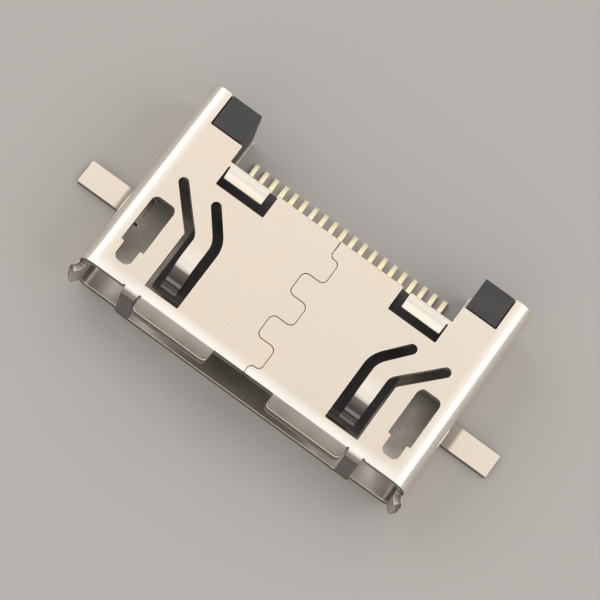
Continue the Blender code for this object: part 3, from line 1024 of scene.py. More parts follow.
@dataclass(frozen=True)
class FloorFinish:
    """A plain pale studio floor.

    Attributes:
        colour: Its usual colour.
        cloud: How much paler its palest patches are.
    """

    colour: Colour = (0.575, 0.55, 0.525)
    cloud: float = 1.04

    def material(self) -> bpy.types.Material:
        """Makes the material.

        Returns:
            The material.
        """
        sketch = MaterialSketch("studio_floor", Roughness=0.75, Specular_IOR_Level=0.25)
        cloud = sketch.noise(sketch.coordinates("Object", (40, 40, 40)), 1.0, 3.0)
        paler = tuple(min(1.0, c * self.cloud) for c in self.colour)
        return sketch.finish(Base_Color=sketch.blend(cloud, self.colour, paler))


def add_piece(
    name: str, mesh: bpy.types.Mesh, node: str, place: Matrix | None = None
) -> bpy.types.Object:
    """Puts a piece in the scene, in place of one of the frame's nodes.

    Args:
        name: The piece's name.
        mesh: Its mesh.
        node: The node that it stands for.
        place: Where it goes, if its mesh isn't in place already.

    Returns:
        The piece.
    """
    piece = bpy.data.objects.new(name, mesh)
    if place is not None:
        piece.matrix_world = place
    bpy.context.scene.collection.objects.link(piece)
    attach(piece, "root")
    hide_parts(node)
    return piece


@dataclass
class Shell:
    """The folded sheet-metal shell.

    An inset is measured in from the shell's side, and v back from the roof's front edge. On the flat blank,
    s runs across the strip from the middle of the floor. Its sizes stand below in groups, one for each form.
    """

    sizes: Sizes
    # Rounding of the cut edges and their corners, and the room that a press tool leaves beside a flap.
    edge_round: float = 0.000017
    cut_corner: float = 0.00004
    relief: float = 0.00008
    # Rear ends of the roof and the floor, and how far in the wings behind them reach.
    roof_rear: float = 0.0054
    wing_inset: float = 0.00195
    floor_rear: float = 0.0052
    # The puzzle seam along the middle of the roof.
    seam_gap: float = 0.00002
    seam_reach: float = 0.00038
    seam_start: float = 0.00036
    seam_lobe: float = 0.00088
    seam_lobes: int = 5
    seam_corner: float = 0.0002
    # The two flared lips over the mouth.
    flare_start: float = 0.00004
    flare_radius: float = 0.00025
    flare_angle: float = 19.2
    lip_inner: float = 0.00115
    lip_corner: float = 0.00018
    # The lips at the mouth's sides, and the one along the floor.
    side_lip_width: float = 0.0013
    side_lip_length: float = 0.00042
    side_lip_radius: float = 0.00035
    side_lip_angle: float = 48
    floor_lip_inset: float = 0.0017
    floor_lip_length: float = 0.0001
    # The guide tabs that are folded down into the mouth.
    guide_inset: float = 0.00197
    guide_width: float = 0.00052
    guide_radius: float = 0.0002
    guide_drop: float = 0.00166
    # Drops between which the guide tab's bend is painted dark as shade.
    guide_painted_shade: tuple[float, float] = (0.0, 0.00002)
    # The latch windows, each with a narrower front end.
    window_inset: float = 0.00112
    window_width: float = 0.00086
    window_front: float = 0.00056
    window_rear: float = 0.00304
    window_neck: float = 0.0006
    window_shoulder: float = 0.0012
    window_corner: float = 0.00022
    # The slots that free the spring fingers, from their roots over their knees to the front.
    slot_width: float = 0.00034
    root_outer: tuple[float, float] = (0.00117, 0.00391)
    root_inner: tuple[float, float] = (0.00247, 0.00388)
    knee_outer: float = 0.00262
    knee_inner: float = 0.00288
    knee_radius_outer: float = 0.00025
    knee_radius_inner: float = 0.0009
    # The spring fingers, which dip into the mouth and come up again at their tips.
    finger_inset: float = 0.00281
    finger_width: float = 0.00058
    finger_front: float = 0.0004
    finger_hinge: float = 0.0019
    # Drops between which the spring finger is painted dark as shade.
    finger_painted_shade: tuple[float, float] = (0.00002, 0.00014)
    finger_runs: tuple[Run, ...] = (
        Run.bend(0.00035, -50),
        Run(0.00044),
        Run.bend(0.00025, 85),
        Run(0.0001),
    )
    # The flaps at the rear of the roof, which are folded down into the housing's pockets.
    flap_cut_front: float = 0.0045
    flap_outer: float = 0.00206
    flap_inner: float = 0.00355
    flap_radius: float = 0.0003
    flap_angle: float = 40
    flap_length: float = 0.00035
    # The solder tabs, which stay in the floor's plane.
    tab_v: float = 0.00309
    tab_width: float = 0.00088
    tab_reach: float = 0.00185
    tab_cut: float = 0.0001
    pen: Pen = Pen()

    def __post_init__(self) -> None:
        """Works out where the folds lie on the flat blank."""
        sizes = self.sizes
        self.half = sizes.half
        self.mid_radius = sizes.corner - sizes.sheet / 2
        self.flat_half = self.half - sizes.corner
        self.arc = self.mid_radius * math.pi / 2
        self.wall = sizes.height - 2 * sizes.corner
        self.wall_start = self.flat_half + self.arc
        self.blank_half = 2 * self.flat_half + 2 * self.arc + self.wall
        self.side_middle = self.wall_start + self.wall / 2
        self.lip_outer = self.guide_inset + self.guide_width / 2 + self.relief
        self.lip = Strip(self.lip_runs())
        self.guide = Strip((Run.bend(self.guide_radius, -90), Run(self.guide_drop)))
        self.finger = Strip(self.finger_runs)
        self.rear_flap = Strip(self.turned(self.flap_radius, -self.flap_angle, self.flap_length))
        self.side_lip = Strip(self.turned(self.side_lip_radius, self.side_lip_angle, self.side_lip_length))
        self.flaps = self.all_flaps()

    def lip_runs(self) -> tuple[Run, ...]:
        """Works out how the lips are folded.

        Returns:
            The roof's flare, and the flat length that brings it to its full reach.
        """
        turn = Run.bend(self.flare_radius, self.flare_angle)
        advance, _, heading, _ = Strip((turn,)).follow(turn.length)
        corner = math.sin(heading) * self.sizes.sheet / 2
        flat = (self.sizes.lip_reach + self.flare_start - advance - corner) / math.cos(heading)
        return turn, Run(flat)

    def turned(self, radius: float, degrees: float, length: float) -> tuple[Run, ...]:
        """Bends a flap and leaves the rest of it flat."""
        turn = Run.bend(radius, degrees)
        return turn, Run(length - turn.length)

    def all_flaps(self) -> list[Flap]:
        """Lists every flap on one half of the blank.

        Returns:
            The lip over the mouth, the guide tab, the spring finger, the rear flap and the side lip.
        """
        edge, margin = self.blank_half - self.half, self.relief / 2
        guide, finger, side = self.guide_width / 2, self.finger_width / 2, self.side_lip_width / 2
        low, high = edge + self.lip_outer, self.blank_half + self.seam_reach
        flaps = [Flap(low, high, self.flare_start, self.lip, margin)]
        middle = edge + self.guide_inset
        low, high = middle - guide, middle + guide
        flaps.append(Flap(low, high, self.flare_start, self.guide, margin - WELD, self.guide_painted_shade))
        middle = edge + self.finger_inset
        low, high = middle - finger, middle + finger
        flaps.append(Flap(low, high, self.finger_hinge, self.finger, margin, self.finger_painted_shade))
        low, high = edge + self.flap_outer, edge + self.flap_inner
        flaps.append(Flap(low, high, self.sizes.flap_hinge, self.rear_flap, margin))
        low, high = self.side_middle - side, self.side_middle + side
        flaps.append(Flap(low, high, 0.0, self.side_lip, margin))
        return flaps

    def roof(self, inset: float, v: float) -> Vector:
        """A place on the roof, as a place on the blank."""
        return Vector((self.blank_half - self.half + inset, v))

    def front_edge(self) -> Path:
        """Draws the front of one half of the blank.

        Returns:
            Its edge from the middle of the floor to the seam.
        """
        lip_end = self.flare_start - self.lip.length
        guide_end = self.flare_start - self.guide.length
        guide_outer = self.guide_inset - self.guide_width / 2
        guide_inner = self.guide_inset + self.guide_width / 2
        side_low = self.side_middle - self.side_lip_width / 2
        side_high = self.side_middle + self.side_lip_width / 2
        floor_lip = self.half - self.floor_lip_inset
        notch = self.half - self.lip_inner
        points = [
            (0.0, -self.floor_lip_length),
            (floor_lip, -self.floor_lip_length),
            (floor_lip, 0.0),
            (side_low, 0.0),
            (side_low, -self.side_lip_length, self.lip_corner),
            (side_high, -self.side_lip_length, self.lip_corner),
            (side_high, 0.0),
            self.roof(guide_outer - self.relief, 0.0),
            self.roof(guide_outer - self.relief, self.flare_start),
            self.roof(guide_outer, self.flare_start),
            self.roof(guide_outer, guide_end),
            self.roof(guide_inner, guide_end),
            self.roof(guide_inner, self.flare_start),
            self.roof(self.lip_outer, self.flare_start),
            (*self.roof(self.lip_outer, lip_end), self.lip_corner),
            (*self.roof(notch, lip_end), self.lip_corner),
            self.roof(notch, 0.0),
            self.roof(self.half, 0.0),
        ]
        return self.pen.path(points, self.cut_corner)[:-1]

    def rear_edge(self) -> Path:
        """Draws the rear of one half of the blank.

        Returns:
            Its edge from the seam to the middle of the floor.
        """
        sizes = self.sizes
        wing = self.half - self.wing_inset
        flap_end = sizes.flap_hinge - self.flap_length
        points = [
            self.roof(self.half, self.roof_rear),
            self.roof(sizes.flap_cut_inner, self.roof_rear),
            self.roof(sizes.flap_cut_inner, self.flap_cut_front),
            self.roof(sizes.flap_cut_outer, self.flap_cut_front),
            self.roof(sizes.flap_cut_outer, sizes.flap_hinge),
            self.roof(self.flap_outer, sizes.flap_hinge),
            self.roof(self.flap_outer, flap_end),
            self.roof(self.flap_inner, flap_end),
            self.roof(self.flap_inner, self.roof_rear),
            self.roof(self.wing_inset, self.roof_rear),
            self.roof(self.wing_inset, sizes.post_cut_front),
            self.roof(sizes.post_cut_inset, sizes.post_cut_front),
            self.roof(sizes.post_cut_inset, sizes.length),
            (wing, sizes.length),
            (wing, self.floor_rear),
            (0.0, self.floor_rear),
        ]
        return self.pen.path(points, self.cut_corner)[1:]

    def seam_line(self) -> Path:
        """Draws the middle of the seam.

        Returns:
            Places from its front to its rear, as X across the roof and v.
        """
        points, side = [(0.0, 0.0), (0.0, self.seam_start)], 1
        for lobe in range(self.seam_lobes):
            low = self.seam_start + lobe * self.seam_lobe
            points += [(side * self.seam_reach, low), (side * self.seam_reach, low + self.seam_lobe)]
            side = -side
        points += [(0.0, self.seam_start + self.seam_lobes * self.seam_lobe), (0.0, self.roof_rear)]
        return self.pen.path(points, self.seam_corner)

    def blank_edge(self) -> Outline:
        """Draws the blank's outer edge.

        Returns:
            The edge round both halves.
        """
        seam, front, rear = self.seam_line(), self.front_edge(), self.rear_edge()
        right = [Vector((self.blank_half - p.x, p.y)) for p in self.pen.beside(seam, -self.seam_gap / 2)]
        left = [Vector((-self.blank_half - p.x, p.y)) for p in self.pen.beside(seam, self.seam_gap / 2)]
        one_half = front + right + rear
        other_half = flipped(rear)[::-1][1:] + left[::-1] + flipped(front)[::-1][:-1]
        return Outline(one_half + other_half)

    def window(self) -> Outline:
        """Draws a latch window.

        Returns:
            A rounded slot with a narrower front end.
        """
        wide, neck = self.window_width / 2, self.window_neck / 2
        corners = [
            (-neck, self.window_front),
            (neck, self.window_front),
            (neck, self.window_shoulder, self.cut_corner),
            (wide, self.window_shoulder, self.cut_corner),
            (wide, self.window_rear),
            (-wide, self.window_rear),
            (-wide, self.window_shoulder, self.cut_corner),
            (-neck, self.window_shoulder, self.cut_corner),
        ]
        loop = self.pen.loop(corners, self.window_corner)
        return Outline([self.roof(self.window_inset + p.x, p.y) for p in loop], hole=True)

    def finger_slot(self) -> Outline:
        """Draws the slot that frees a spring finger.

        Returns:
            The slot down one side of the finger, round its tip and back up the other side.
        """
        half = (self.finger_width + self.slot_width) / 2
        tip = self.finger_hinge - self.finger.length
        sides = []
        for root, x, knee, radius in (
            (self.root_outer, self.finger_inset - half, self.knee_outer, self.knee_radius_outer),
            (self.root_inner, self.finger_inset + half, self.knee_inner, self.knee_radius_inner),
        ):
            for end in (self.finger_front, tip):
                sides.append(self.pen.path([root, (x, knee), (x, end)], radius))
        left, right = self.slot_width / 2, -self.slot_width / 2
        outer_far, outer_near = self.pen.beside(sides[0], right), self.pen.beside(sides[1], left)
        inner_far, inner_near = self.pen.beside(sides[2], left), self.pen.beside(sides[3], right)
        outer_end = self.pen.round_end(Vector(self.root_outer), outer_near[0])[::-1]
        inner_end = self.pen.round_end(Vector(self.root_inner), inner_far[0])[::-1]
        front = self.pen.path([*outer_far[-2:], *inner_far[:-3:-1]], self.cut_corner)
        nose = self.pen.path([*inner_near[-2:], *outer_near[:-3:-1]], self.cut_corner)
        loop = outer_far[:-2] + front + inner_far[:-2][::-1] + inner_end
        loop += inner_near[:-2] + nose + outer_near[:-2][::-1] + outer_end
        return Outline([self.roof(p.x, p.y) for p in loop], hole=True)

    def tab_slot(self) -> Outline:
        """Draws the cut round a solder tab.

        Returns:
            The cut from the floor's edge to the tab's end, on the tab's two sides and round its end.
        """
        end, start = self.half + self.tab_reach, self.flat_half - self.tab_cut
        near, far = self.tab_v - self.tab_width / 2, self.tab_v + self.tab_width / 2
        corners = [
            (start, near - self.tab_cut),
            (end + self.tab_cut, near - self.tab_cut),
            (end + self.tab_cut, far + self.tab_cut),
            (start, far + self.tab_cut),
            (start, far),
            (end, far),
            (end, near),
            (start, near),
        ]
        return Outline(self.pen.loop(corners, self.cut_corner), hole=True)

    def fold_lines(self) -> list[Line]:
        """Finds where the blank needs an edge to fold on.

        Returns:
            Lines along the four long bends, and lines across at the facets of each flap.
        """
        steps = math.ceil(math.pi / 2 / FACET_TURN)
        far = self.sizes.length
        lines = []
        for side in (1, -1):
            for start in (self.flat_half, self.wall_start + self.wall):
                for i in range(steps + 1):
                    s = side * (start + self.arc * i / steps)
                    lines.append((Vector((s, -far)), Vector((s, 2 * far))))
            for flap in self.flaps:
                for a, b in flap.lines():
                    lines.append((Vector((side * a.x, a.y)), Vector((side * b.x, b.y))))
        return lines

    def wrapped(self, s: float) -> tuple[float, float, float, float, bool]:
        """Wraps one half of the blank round the tube.

        Args:
            s: Distance from the middle of the floor.

        Returns:
            X and Z of the middle of the sheet, the outward direction there, and whether it is in a bend.
        """
        sizes, radius = self.sizes, self.mid_radius
        upper = self.wall_start + self.wall
        if s <= self.flat_half:
            return s, sizes.sheet / 2, 0.0, -1.0, False
        if s < self.wall_start:
            turn = (s - self.flat_half) / radius
            x, z = self.flat_half + radius * math.sin(turn), sizes.corner - radius * math.cos(turn)
            return x, z, math.sin(turn), -math.cos(turn), True
        if s <= upper:
            return self.flat_half + radius, sizes.corner + s - self.wall_start, 1.0, 0.0, False
        if s < upper + self.arc:
            turn = (s - upper) / radius
            x = self.flat_half + radius * math.cos(turn)
            z = sizes.height - sizes.corner + radius * math.sin(turn)
            return x, z, math.cos(turn), math.sin(turn), True
        return self.blank_half - s, sizes.height - sizes.sheet / 2, 0.0, 1.0, False

    def on_tab(self, s: float, v: float) -> bool:
        """Whether a place on one half of the blank is on a solder tab."""
        beside = abs(v - self.tab_v) < self.tab_width / 2 + WELD
        return beside and self.flat_half - self.tab_cut < s < self.half + self.tab_reach + WELD

    def folded(self, flat: Vector, depth: float, way: Vector) -> Spot:
        """Folds one place of the flat blank.

        Args:
            flat: The place on the blank.
            depth: Its place within the sheet's thickness, from the middle.
            way: Which way the surface faces there, along s, along v and out of the sheet.

        Returns:
            The place after folding, and what the sheet is like there.
        """
        side, s, v = (1 if flat.x >= 0 else -1), abs(flat.x), flat.y
        if self.on_tab(s, v):
            place = Vector((flat.x, self.sizes.front + v, self.sizes.sheet / 2 - depth))
            return Spot(place, Vector((way.x, way.y, -way.z)), 0.0, 0.0)
        x, z, out_x, out_z, bent = self.wrapped(s)
        out = Vector((side * out_x, 0, out_z))
        over = Vector((-out_z, 0, side * out_x))
        back = Vector((0, 1, 0))
        up, shade = out, 0.0
        for flap in self.flaps:
            if flap.holds(s, v):
                advance, rise, heading, bent = flap.strip.follow(flap.hinge - v)
                # Painted shade: the plate darkens as the flap drops into the mouth.
                shade = flap.shade(-rise)
                v = flap.hinge - advance
                x, z = x + out_x * rise, z + out_z * rise
                up = out * math.cos(heading) + back * math.sin(heading)
                back = back * math.cos(heading) - out * math.sin(heading)
                break
        place = Vector((side * x, self.sizes.front + v, z)) + up * depth
        normal = over * way.x + back * way.y + up * way.z
        return Spot(place, normal, 1.0 if bent else 0.0, shade)

    def build(self) -> bpy.types.Mesh:
        """Cuts the blank, rounds its edges and folds it.

        Returns:
            The shell's mesh, with its faces' finishes in the order of SheetFace.
        """
        lines = self.fold_lines()
        holes = [self.window(), self.finger_slot(), self.tab_slot()]
        outlines = [self.blank_edge(), *holes, *(hole.mirrored() for hole in holes)]
        outlines = [outline.cut_at(lines, self.edge_round) for outline in outlines]
        surface = Surface()
        self.add_faces(surface, [outline.inset(self.edge_round) for outline in outlines], lines)
        for outline in outlines:
            self.add_rim(surface, outline)
        log.info("shell blank: %d places in %d outlines", sum(len(o.points) for o in outlines), len(outlines))
        return surface.mesh("shell_folded")

    def add_faces(self, surface: Surface, loops: list[Path], lines: list[Line]) -> None:
        """Fills the blank between its edges, on both faces of the sheet.

        Args:
            surface: The surface to add to.
            loops: The edges of the flat faces.
            lines: Fold lines, which become edges of the mesh.
        """
        places: Path = []
        edges: list[tuple[int, int]] = []
        for loop in loops:
            first = len(places)
            places += loop
            edges += [(first + i, first + (i + 1) % len(loop)) for i in range(len(loop))]
        for line in lines:
            edges.append((len(places), len(places) + 1))
            places += line
        verts, _, faces, *_ = delaunay_2d_cdt([place / MM for place in places], edges, [], 0, MESH_TIE)
        corners = np.array([vert[:] for vert in verts]) * MM
        triangles = np.array([face for face in faces if len(face) == 3])
        middles = corners[triangles].mean(axis=1)
        within = self.in_metal(middles, loops)
        kept, middles = triangles[within], middles[within]
        for depth, facing in ((self.sizes.sheet / 2, 1.0), (-self.sizes.sheet / 2, -1.0)):
            numbers = {}
            for i in sorted(set(kept.ravel().tolist())):
                flat = Vector(corners[i])
                spot = self.folded(flat, depth, Vector((0, 0, facing)))
                numbers[i] = surface.add_vert(spot, (flat.x / MM, flat.y / MM))
            for (a, b, c), (s, v) in zip(kept.tolist(), middles.tolist()):
                ordered = (a, c, b) if facing > 0 else (a, b, c)
                outer = facing > 0 or self.on_tab(abs(s), v)
                face = SheetFace.OUTER if outer else SheetFace.INNER
                surface.add_face(tuple(numbers[i] for i in ordered), face)

    def in_metal(self, places: np.ndarray, loops: list[Path]) -> np.ndarray:
        """Finds which places lie within the metal.

        Args:
            places: The places to test.
            loops: The edges of the metal.

        Returns:
            True for each place that is inside an odd number of edges.
        """
        within = np.zeros(len(places), dtype=bool)
        for loop in loops:
            a = np.array([p[:] for p in loop])
            b = np.roll(a, -1, axis=0)
            for (ax, ay), (bx, by) in zip(a, b):
                if ay == by:
                    continue
                crossed = (ay > places[:, 1]) != (by > places[:, 1])
                left = places[:, 0] < ax + (places[:, 1] - ay) * (bx - ax) / (by - ay)
                within ^= crossed & left
        return within

    def add_rim(self, surface: Surface, outline: Outline) -> None:
        """Adds the cut edge along one outline, rounded over at both faces.

        Args:
            surface: The surface to add to.
            outline: The outline.
        """
        radius, half = self.edge_round, self.sizes.sheet / 2
        slant = math.sqrt(0.5)
        lean = 1 - slant
        profile = [
            (radius, half, 0.0, 1.0),
            (radius * lean, half - radius * lean, slant, slant),
            (0.0, half - radius, 1.0, 0.0),
            (0.0, radius - half, 1.0, 0.0),
            (radius * lean, radius * lean - half, slant, -slant),
            (radius, -half, 0.0, -1.0),
        ]
        middle = len(profile) // 2 - 1
        ways = [way for way, _ in outline.inward()]
        run = [0.0]
        for a, b in zip(outline.points, outline.points[1:]):
            run.append(run[-1] + (b - a).length)
        rings = []
        for inset, depth, outward, upward in profile:
            ring = []
            for way, place, distance in zip(ways, outline.inset(inset), run):
                facing = Vector((-way.x * outward, -way.y * outward, upward))
                spot = self.folded(place, depth, facing)
                ring.append(surface.add_vert(spot, (distance / MM, (half - depth) / MM)))
            rings.append(ring)
        for level, (upper, lower) in enumerate(zip(rings, rings[1:])):
            face = SheetFace.CUT if level == middle else SheetFace.OUTER
            for i in range(len(upper)):
                j = (i + 1) % len(upper)
                surface.add_face((upper[i], upper[j], lower[j], lower[i]), face)

    def dress(self, mesh: bpy.types.Mesh) -> bpy.types.Object:
        """Makes the shell's piece from its mesh.

        Args:
            mesh: The folded mesh.

        Returns:
            The piece.
        """
        for finish in (NickelFinish(), ShearedFinish(), InnerShadeFinish()):
            mesh.materials.append(finish.material())
        return add_piece("shell_piece", mesh, "shell")


class Workshop:
    """Makes helper solids and combines them into one moulding."""

    def __init__(self, sizes: Sizes) -> None:
        """Starts with nothing made.

        Args:
            sizes: The sizes that all pieces share.
        """
        self.sizes = sizes
        self.helpers: dict[Operation, list[bpy.types.Object]] = {operation: [] for operation in Operation}

    def plate(self, name: str, outline: Path, depth: float) -> bpy.types.Mesh:
        """Makes a solid from a flat outline.

        Args:
            name: The mesh's name.
            outline: The outline.
            depth: The solid's depth, half to each side of the outline's plane.

        Returns:
            The mesh.
        """
        shape = bmesh.new()
        ring = [shape.verts.new((p.x, p.y, -depth / 2)) for p in outline]
        face = shape.faces.new(ring)
        made = bmesh.ops.extrude_face_region(shape, geom=[face])
        raised = [item for item in made["geom"] if isinstance(item, bmesh.types.BMVert)]
        bmesh.ops.translate(shape, verts=raised, vec=(0, 0, depth))
        bmesh.ops.recalc_face_normals(shape, faces=shape.faces)
        mesh = bpy.data.meshes.new(name)
        shape.to_mesh(mesh)
        shape.free()
        return mesh

    def prism(self, use: Operation, outline: Path, plane: Plane, depth: float, x: float = 0.0) -> None:
        """Adds a helper prism.

        Args:
            use: What it does to the moulding.
            outline: Its outline.
            plane: The plane that the outline lies in.
            depth: Its depth across that plane.
            x: Where its middle lies along X.
        """
        mesh = self.plate(f"helper_{use.name.lower()}", outline, depth)
        helper = bpy.data.objects.new(mesh.name, mesh)
        helper.matrix_world = Matrix.Translation((x, 0, 0)) @ plane.matrix()
        self.keep(use, helper)

    def block(self, use: Operation, xs: Sequence[float], vs: Sequence[float], zs: Sequence[float]) -> None:
        """Adds a helper block.

        Args:
            use: What it does to the moulding.
            xs: Its lowest and highest X.
            vs: Its nearest and furthest distance back from the front edge.
            zs: Its lowest and highest Z.
        """
        shape = bmesh.new()
        bmesh.ops.create_cube(shape, size=1)
        spans = [high - low for low, high in (xs, vs, zs)]
        bmesh.ops.scale(shape, verts=shape.verts, vec=spans)
        mesh = bpy.data.meshes.new(f"helper_{use.name.lower()}")
        shape.to_mesh(mesh)
        shape.free()
        helper = bpy.data.objects.new(mesh.name, mesh)
        middles = [(low + high) / 2 for low, high in (xs, vs, zs)]
        helper.location = (middles[0], middles[1] + self.sizes.front, middles[2])
        self.keep(use, helper)

    def keep(self, use: Operation, helper: bpy.types.Object) -> None:
        """Links a helper and remembers what it is for."""
        bpy.context.scene.collection.objects.link(helper)
        self.helpers[use].append(helper)

    def moulded(self, name: str, base: bpy.types.Object) -> bpy.types.Mesh:
        """Joins and cuts the base with all helpers, and clears them away.

        Args:
            name: The new mesh's name.
            base: The solid to start from, which is cleared away too.

        Returns:
            The finished mesh.
        """
        collections = []
        for operation, helpers in self.helpers.items():
            tools = bpy.data.collections.new(operation.name.lower())
            for helper in helpers:
                tools.objects.link(helper)
            modifier = base.modifiers.new(operation.name.lower(), "BOOLEAN")
            modifier.operation = operation.value
            modifier.solver = "EXACT"
            modifier.operand_type = "COLLECTION"
            modifier.collection = tools
            collections.append(tools)
        bpy.context.view_layer.update()
        evaluated = base.evaluated_get(bpy.context.evaluated_depsgraph_get())
        mesh = bpy.data.meshes.new_from_object(evaluated)
        mesh.name = name
        mesh.transform(base.matrix_world)
        for helper in [base, *(h for helpers in self.helpers.values() for h in helpers)]:
            bpy.data.objects.remove(helper, do_unlink=True)
        for tools in collections:
            bpy.data.collections.remove(tools)
        return mesh


@dataclass
class Housing:
    """The black moulding: a base that fills the rear of the shell, a tongue, a comb and two rear posts.

    Attributes:
        sizes: The sizes that all pieces share.
        fit: Room between the base and the shell.
        base_front: Front of the base, back from the roof's front edge.
        base_rear: Rear of the base above the comb.
        comb_rear: Rear of the comb.
        comb_top: Height of the comb.
        tongue_edge: How far the tongue reaches past the row of contacts, to each side.
        tongue_front: Front of the tongue.
        tongue_thick: Thickness of the tongue.
        tongue_nose: How far its lead-in reaches back and up.
        post_inset: Inset of the posts' inner sides.
        post_fit: Room round the posts and the rear flaps.
        pocket_depth: Depth of the pockets for the rear flaps.
        edge_round: How far its edges are rounded.
        sharp: Angle above which an edge is rounded, in degrees.
        pen: What its outlines are drawn with.
    """

    sizes: Sizes
    fit: float = 0.00002
    base_front: float = 0.00446
    base_rear: float = 0.00545
    comb_rear: float = 0.00582
    comb_top: float = 0.0013
    tongue_edge: float = 0.00005
    tongue_front: float = 0.00095
    tongue_thick: float = 0.0007
    tongue_nose: float = 0.00018
    post_inset: float = 0.00187
    post_fit: float = 0.00004
    pocket_depth: float = 0.00055
    edge_round: float = 0.00002
    sharp: float = 35
    pen: Pen = Pen()

    @property
    def inside(self) -> float:
        """From the shell's outside to the housing."""
        return self.sizes.sheet + self.fit

    def section(self) -> Path:
        """Draws the base's section.

        Returns:
            Its outline, which fills the shell.
        """
        half, low, high = self.sizes.half - self.inside, self.inside, self.sizes.height - self.inside
        corners = [(-half, low), (half, low), (half, high), (-half, high)]
        return self.pen.loop(corners, self.sizes.corner - self.sizes.sheet)

    def tongue(self) -> Path:
        """Draws the tongue from the side.

        Returns:
            Its outline, with a lead-in at its front.
        """
        low, high = self.sizes.tongue_bottom, self.sizes.tongue_bottom + self.tongue_thick
        front, nose, back = self.tongue_front, self.tongue_nose, self.base_front + self.sizes.sheet
        lower = [(front, low + nose), (front + nose, low), (back, low)]
        upper = [(back, high), (front + nose, high), (front, high - nose)]
        return self.sizes.along(lower + upper)

    def rear_cut(self) -> Path:
        """Draws what is cut away between the rear posts.

        Returns:
            Its outline from the side, behind the base and the comb.
        """
        sheet, height = self.sizes.sheet, self.sizes.height
        past = self.sizes.length + sheet
        return self.sizes.along(
            [
                (self.base_rear, height + sheet),
                (self.base_rear, self.comb_top),
                (self.comb_rear, self.comb_top),
                (self.comb_rear, -sheet),
                (past, -sheet),
                (past, height + sheet),
            ]
        )

    def build(self, contacts: "Contacts") -> bpy.types.Mesh:
        """Moulds the housing.

        Args:
            contacts: The contacts that its channels hold.

        Returns:
            The housing's mesh.
        """
        sizes, workshop = self.sizes, Workshop(self.sizes)
        depth = sizes.length - self.base_front
        base = bpy.data.objects.new("helper_base", workshop.plate("helper_base", self.section(), depth))
        middle = sizes.front + self.base_front + depth / 2
        base.matrix_world = Matrix.Translation((0, middle, 0)) @ Plane.XZ.matrix()
        bpy.context.scene.collection.objects.link(base)
        workshop.prism(Operation.JOIN, self.tongue(), Plane.YZ, sizes.row + 2 * self.tongue_edge)
        # Helpers reach this far past the faces that they cut or join.
        past = sizes.sheet
        fit = self.post_fit
        post = (self.post_inset + past, sizes.post_cut_inset + fit)
        pocket = (sizes.flap_cut_inner + fit, sizes.flap_cut_outer - fit)
        for side in (1, -1):
            workshop.block(
                Operation.JOIN,
                sizes.across(side, *post),
                (sizes.post_cut_front + fit, sizes.length - fit),
                (sizes.height / 2, sizes.height),
            )
            workshop.block(
                Operation.CUT,
                sizes.across(side, *pocket),
                (self.base_front - past, sizes.flap_hinge + past),
                (sizes.height - self.inside - self.pocket_depth, sizes.height + past),
            )
        workshop.prism(Operation.CUT, self.rear_cut(), Plane.YZ, 2 * (sizes.half - self.post_inset))
        for x in sizes.contact_xs():
            channel = contacts.channel(self.comb_rear + past)
            workshop.prism(Operation.CUT, channel, Plane.YZ, contacts.width + 2 * contacts.fit, x)
        return workshop.moulded("housing_moulded", base)

    def dress(self, mesh: bpy.types.Mesh) -> bpy.types.Object:
        """Makes the housing's piece from its mesh.

        Args:
            mesh: The moulded mesh.

        Returns:
            The piece.
        """
        mesh.materials.append(ResinFinish().material())
        mesh.polygons.foreach_set("use_smooth", [True] * len(mesh.polygons))
        piece = add_piece("housing_piece", mesh, "housing")
        bevel = piece.modifiers.new("mould_radius", "BEVEL")
        bevel.width = self.edge_round
        bevel.segments = ROUND_STEPS
        bevel.limit_method = "ANGLE"
        bevel.angle_limit = math.radians(self.sharp)
        bevel.harden_normals = True
        return piece


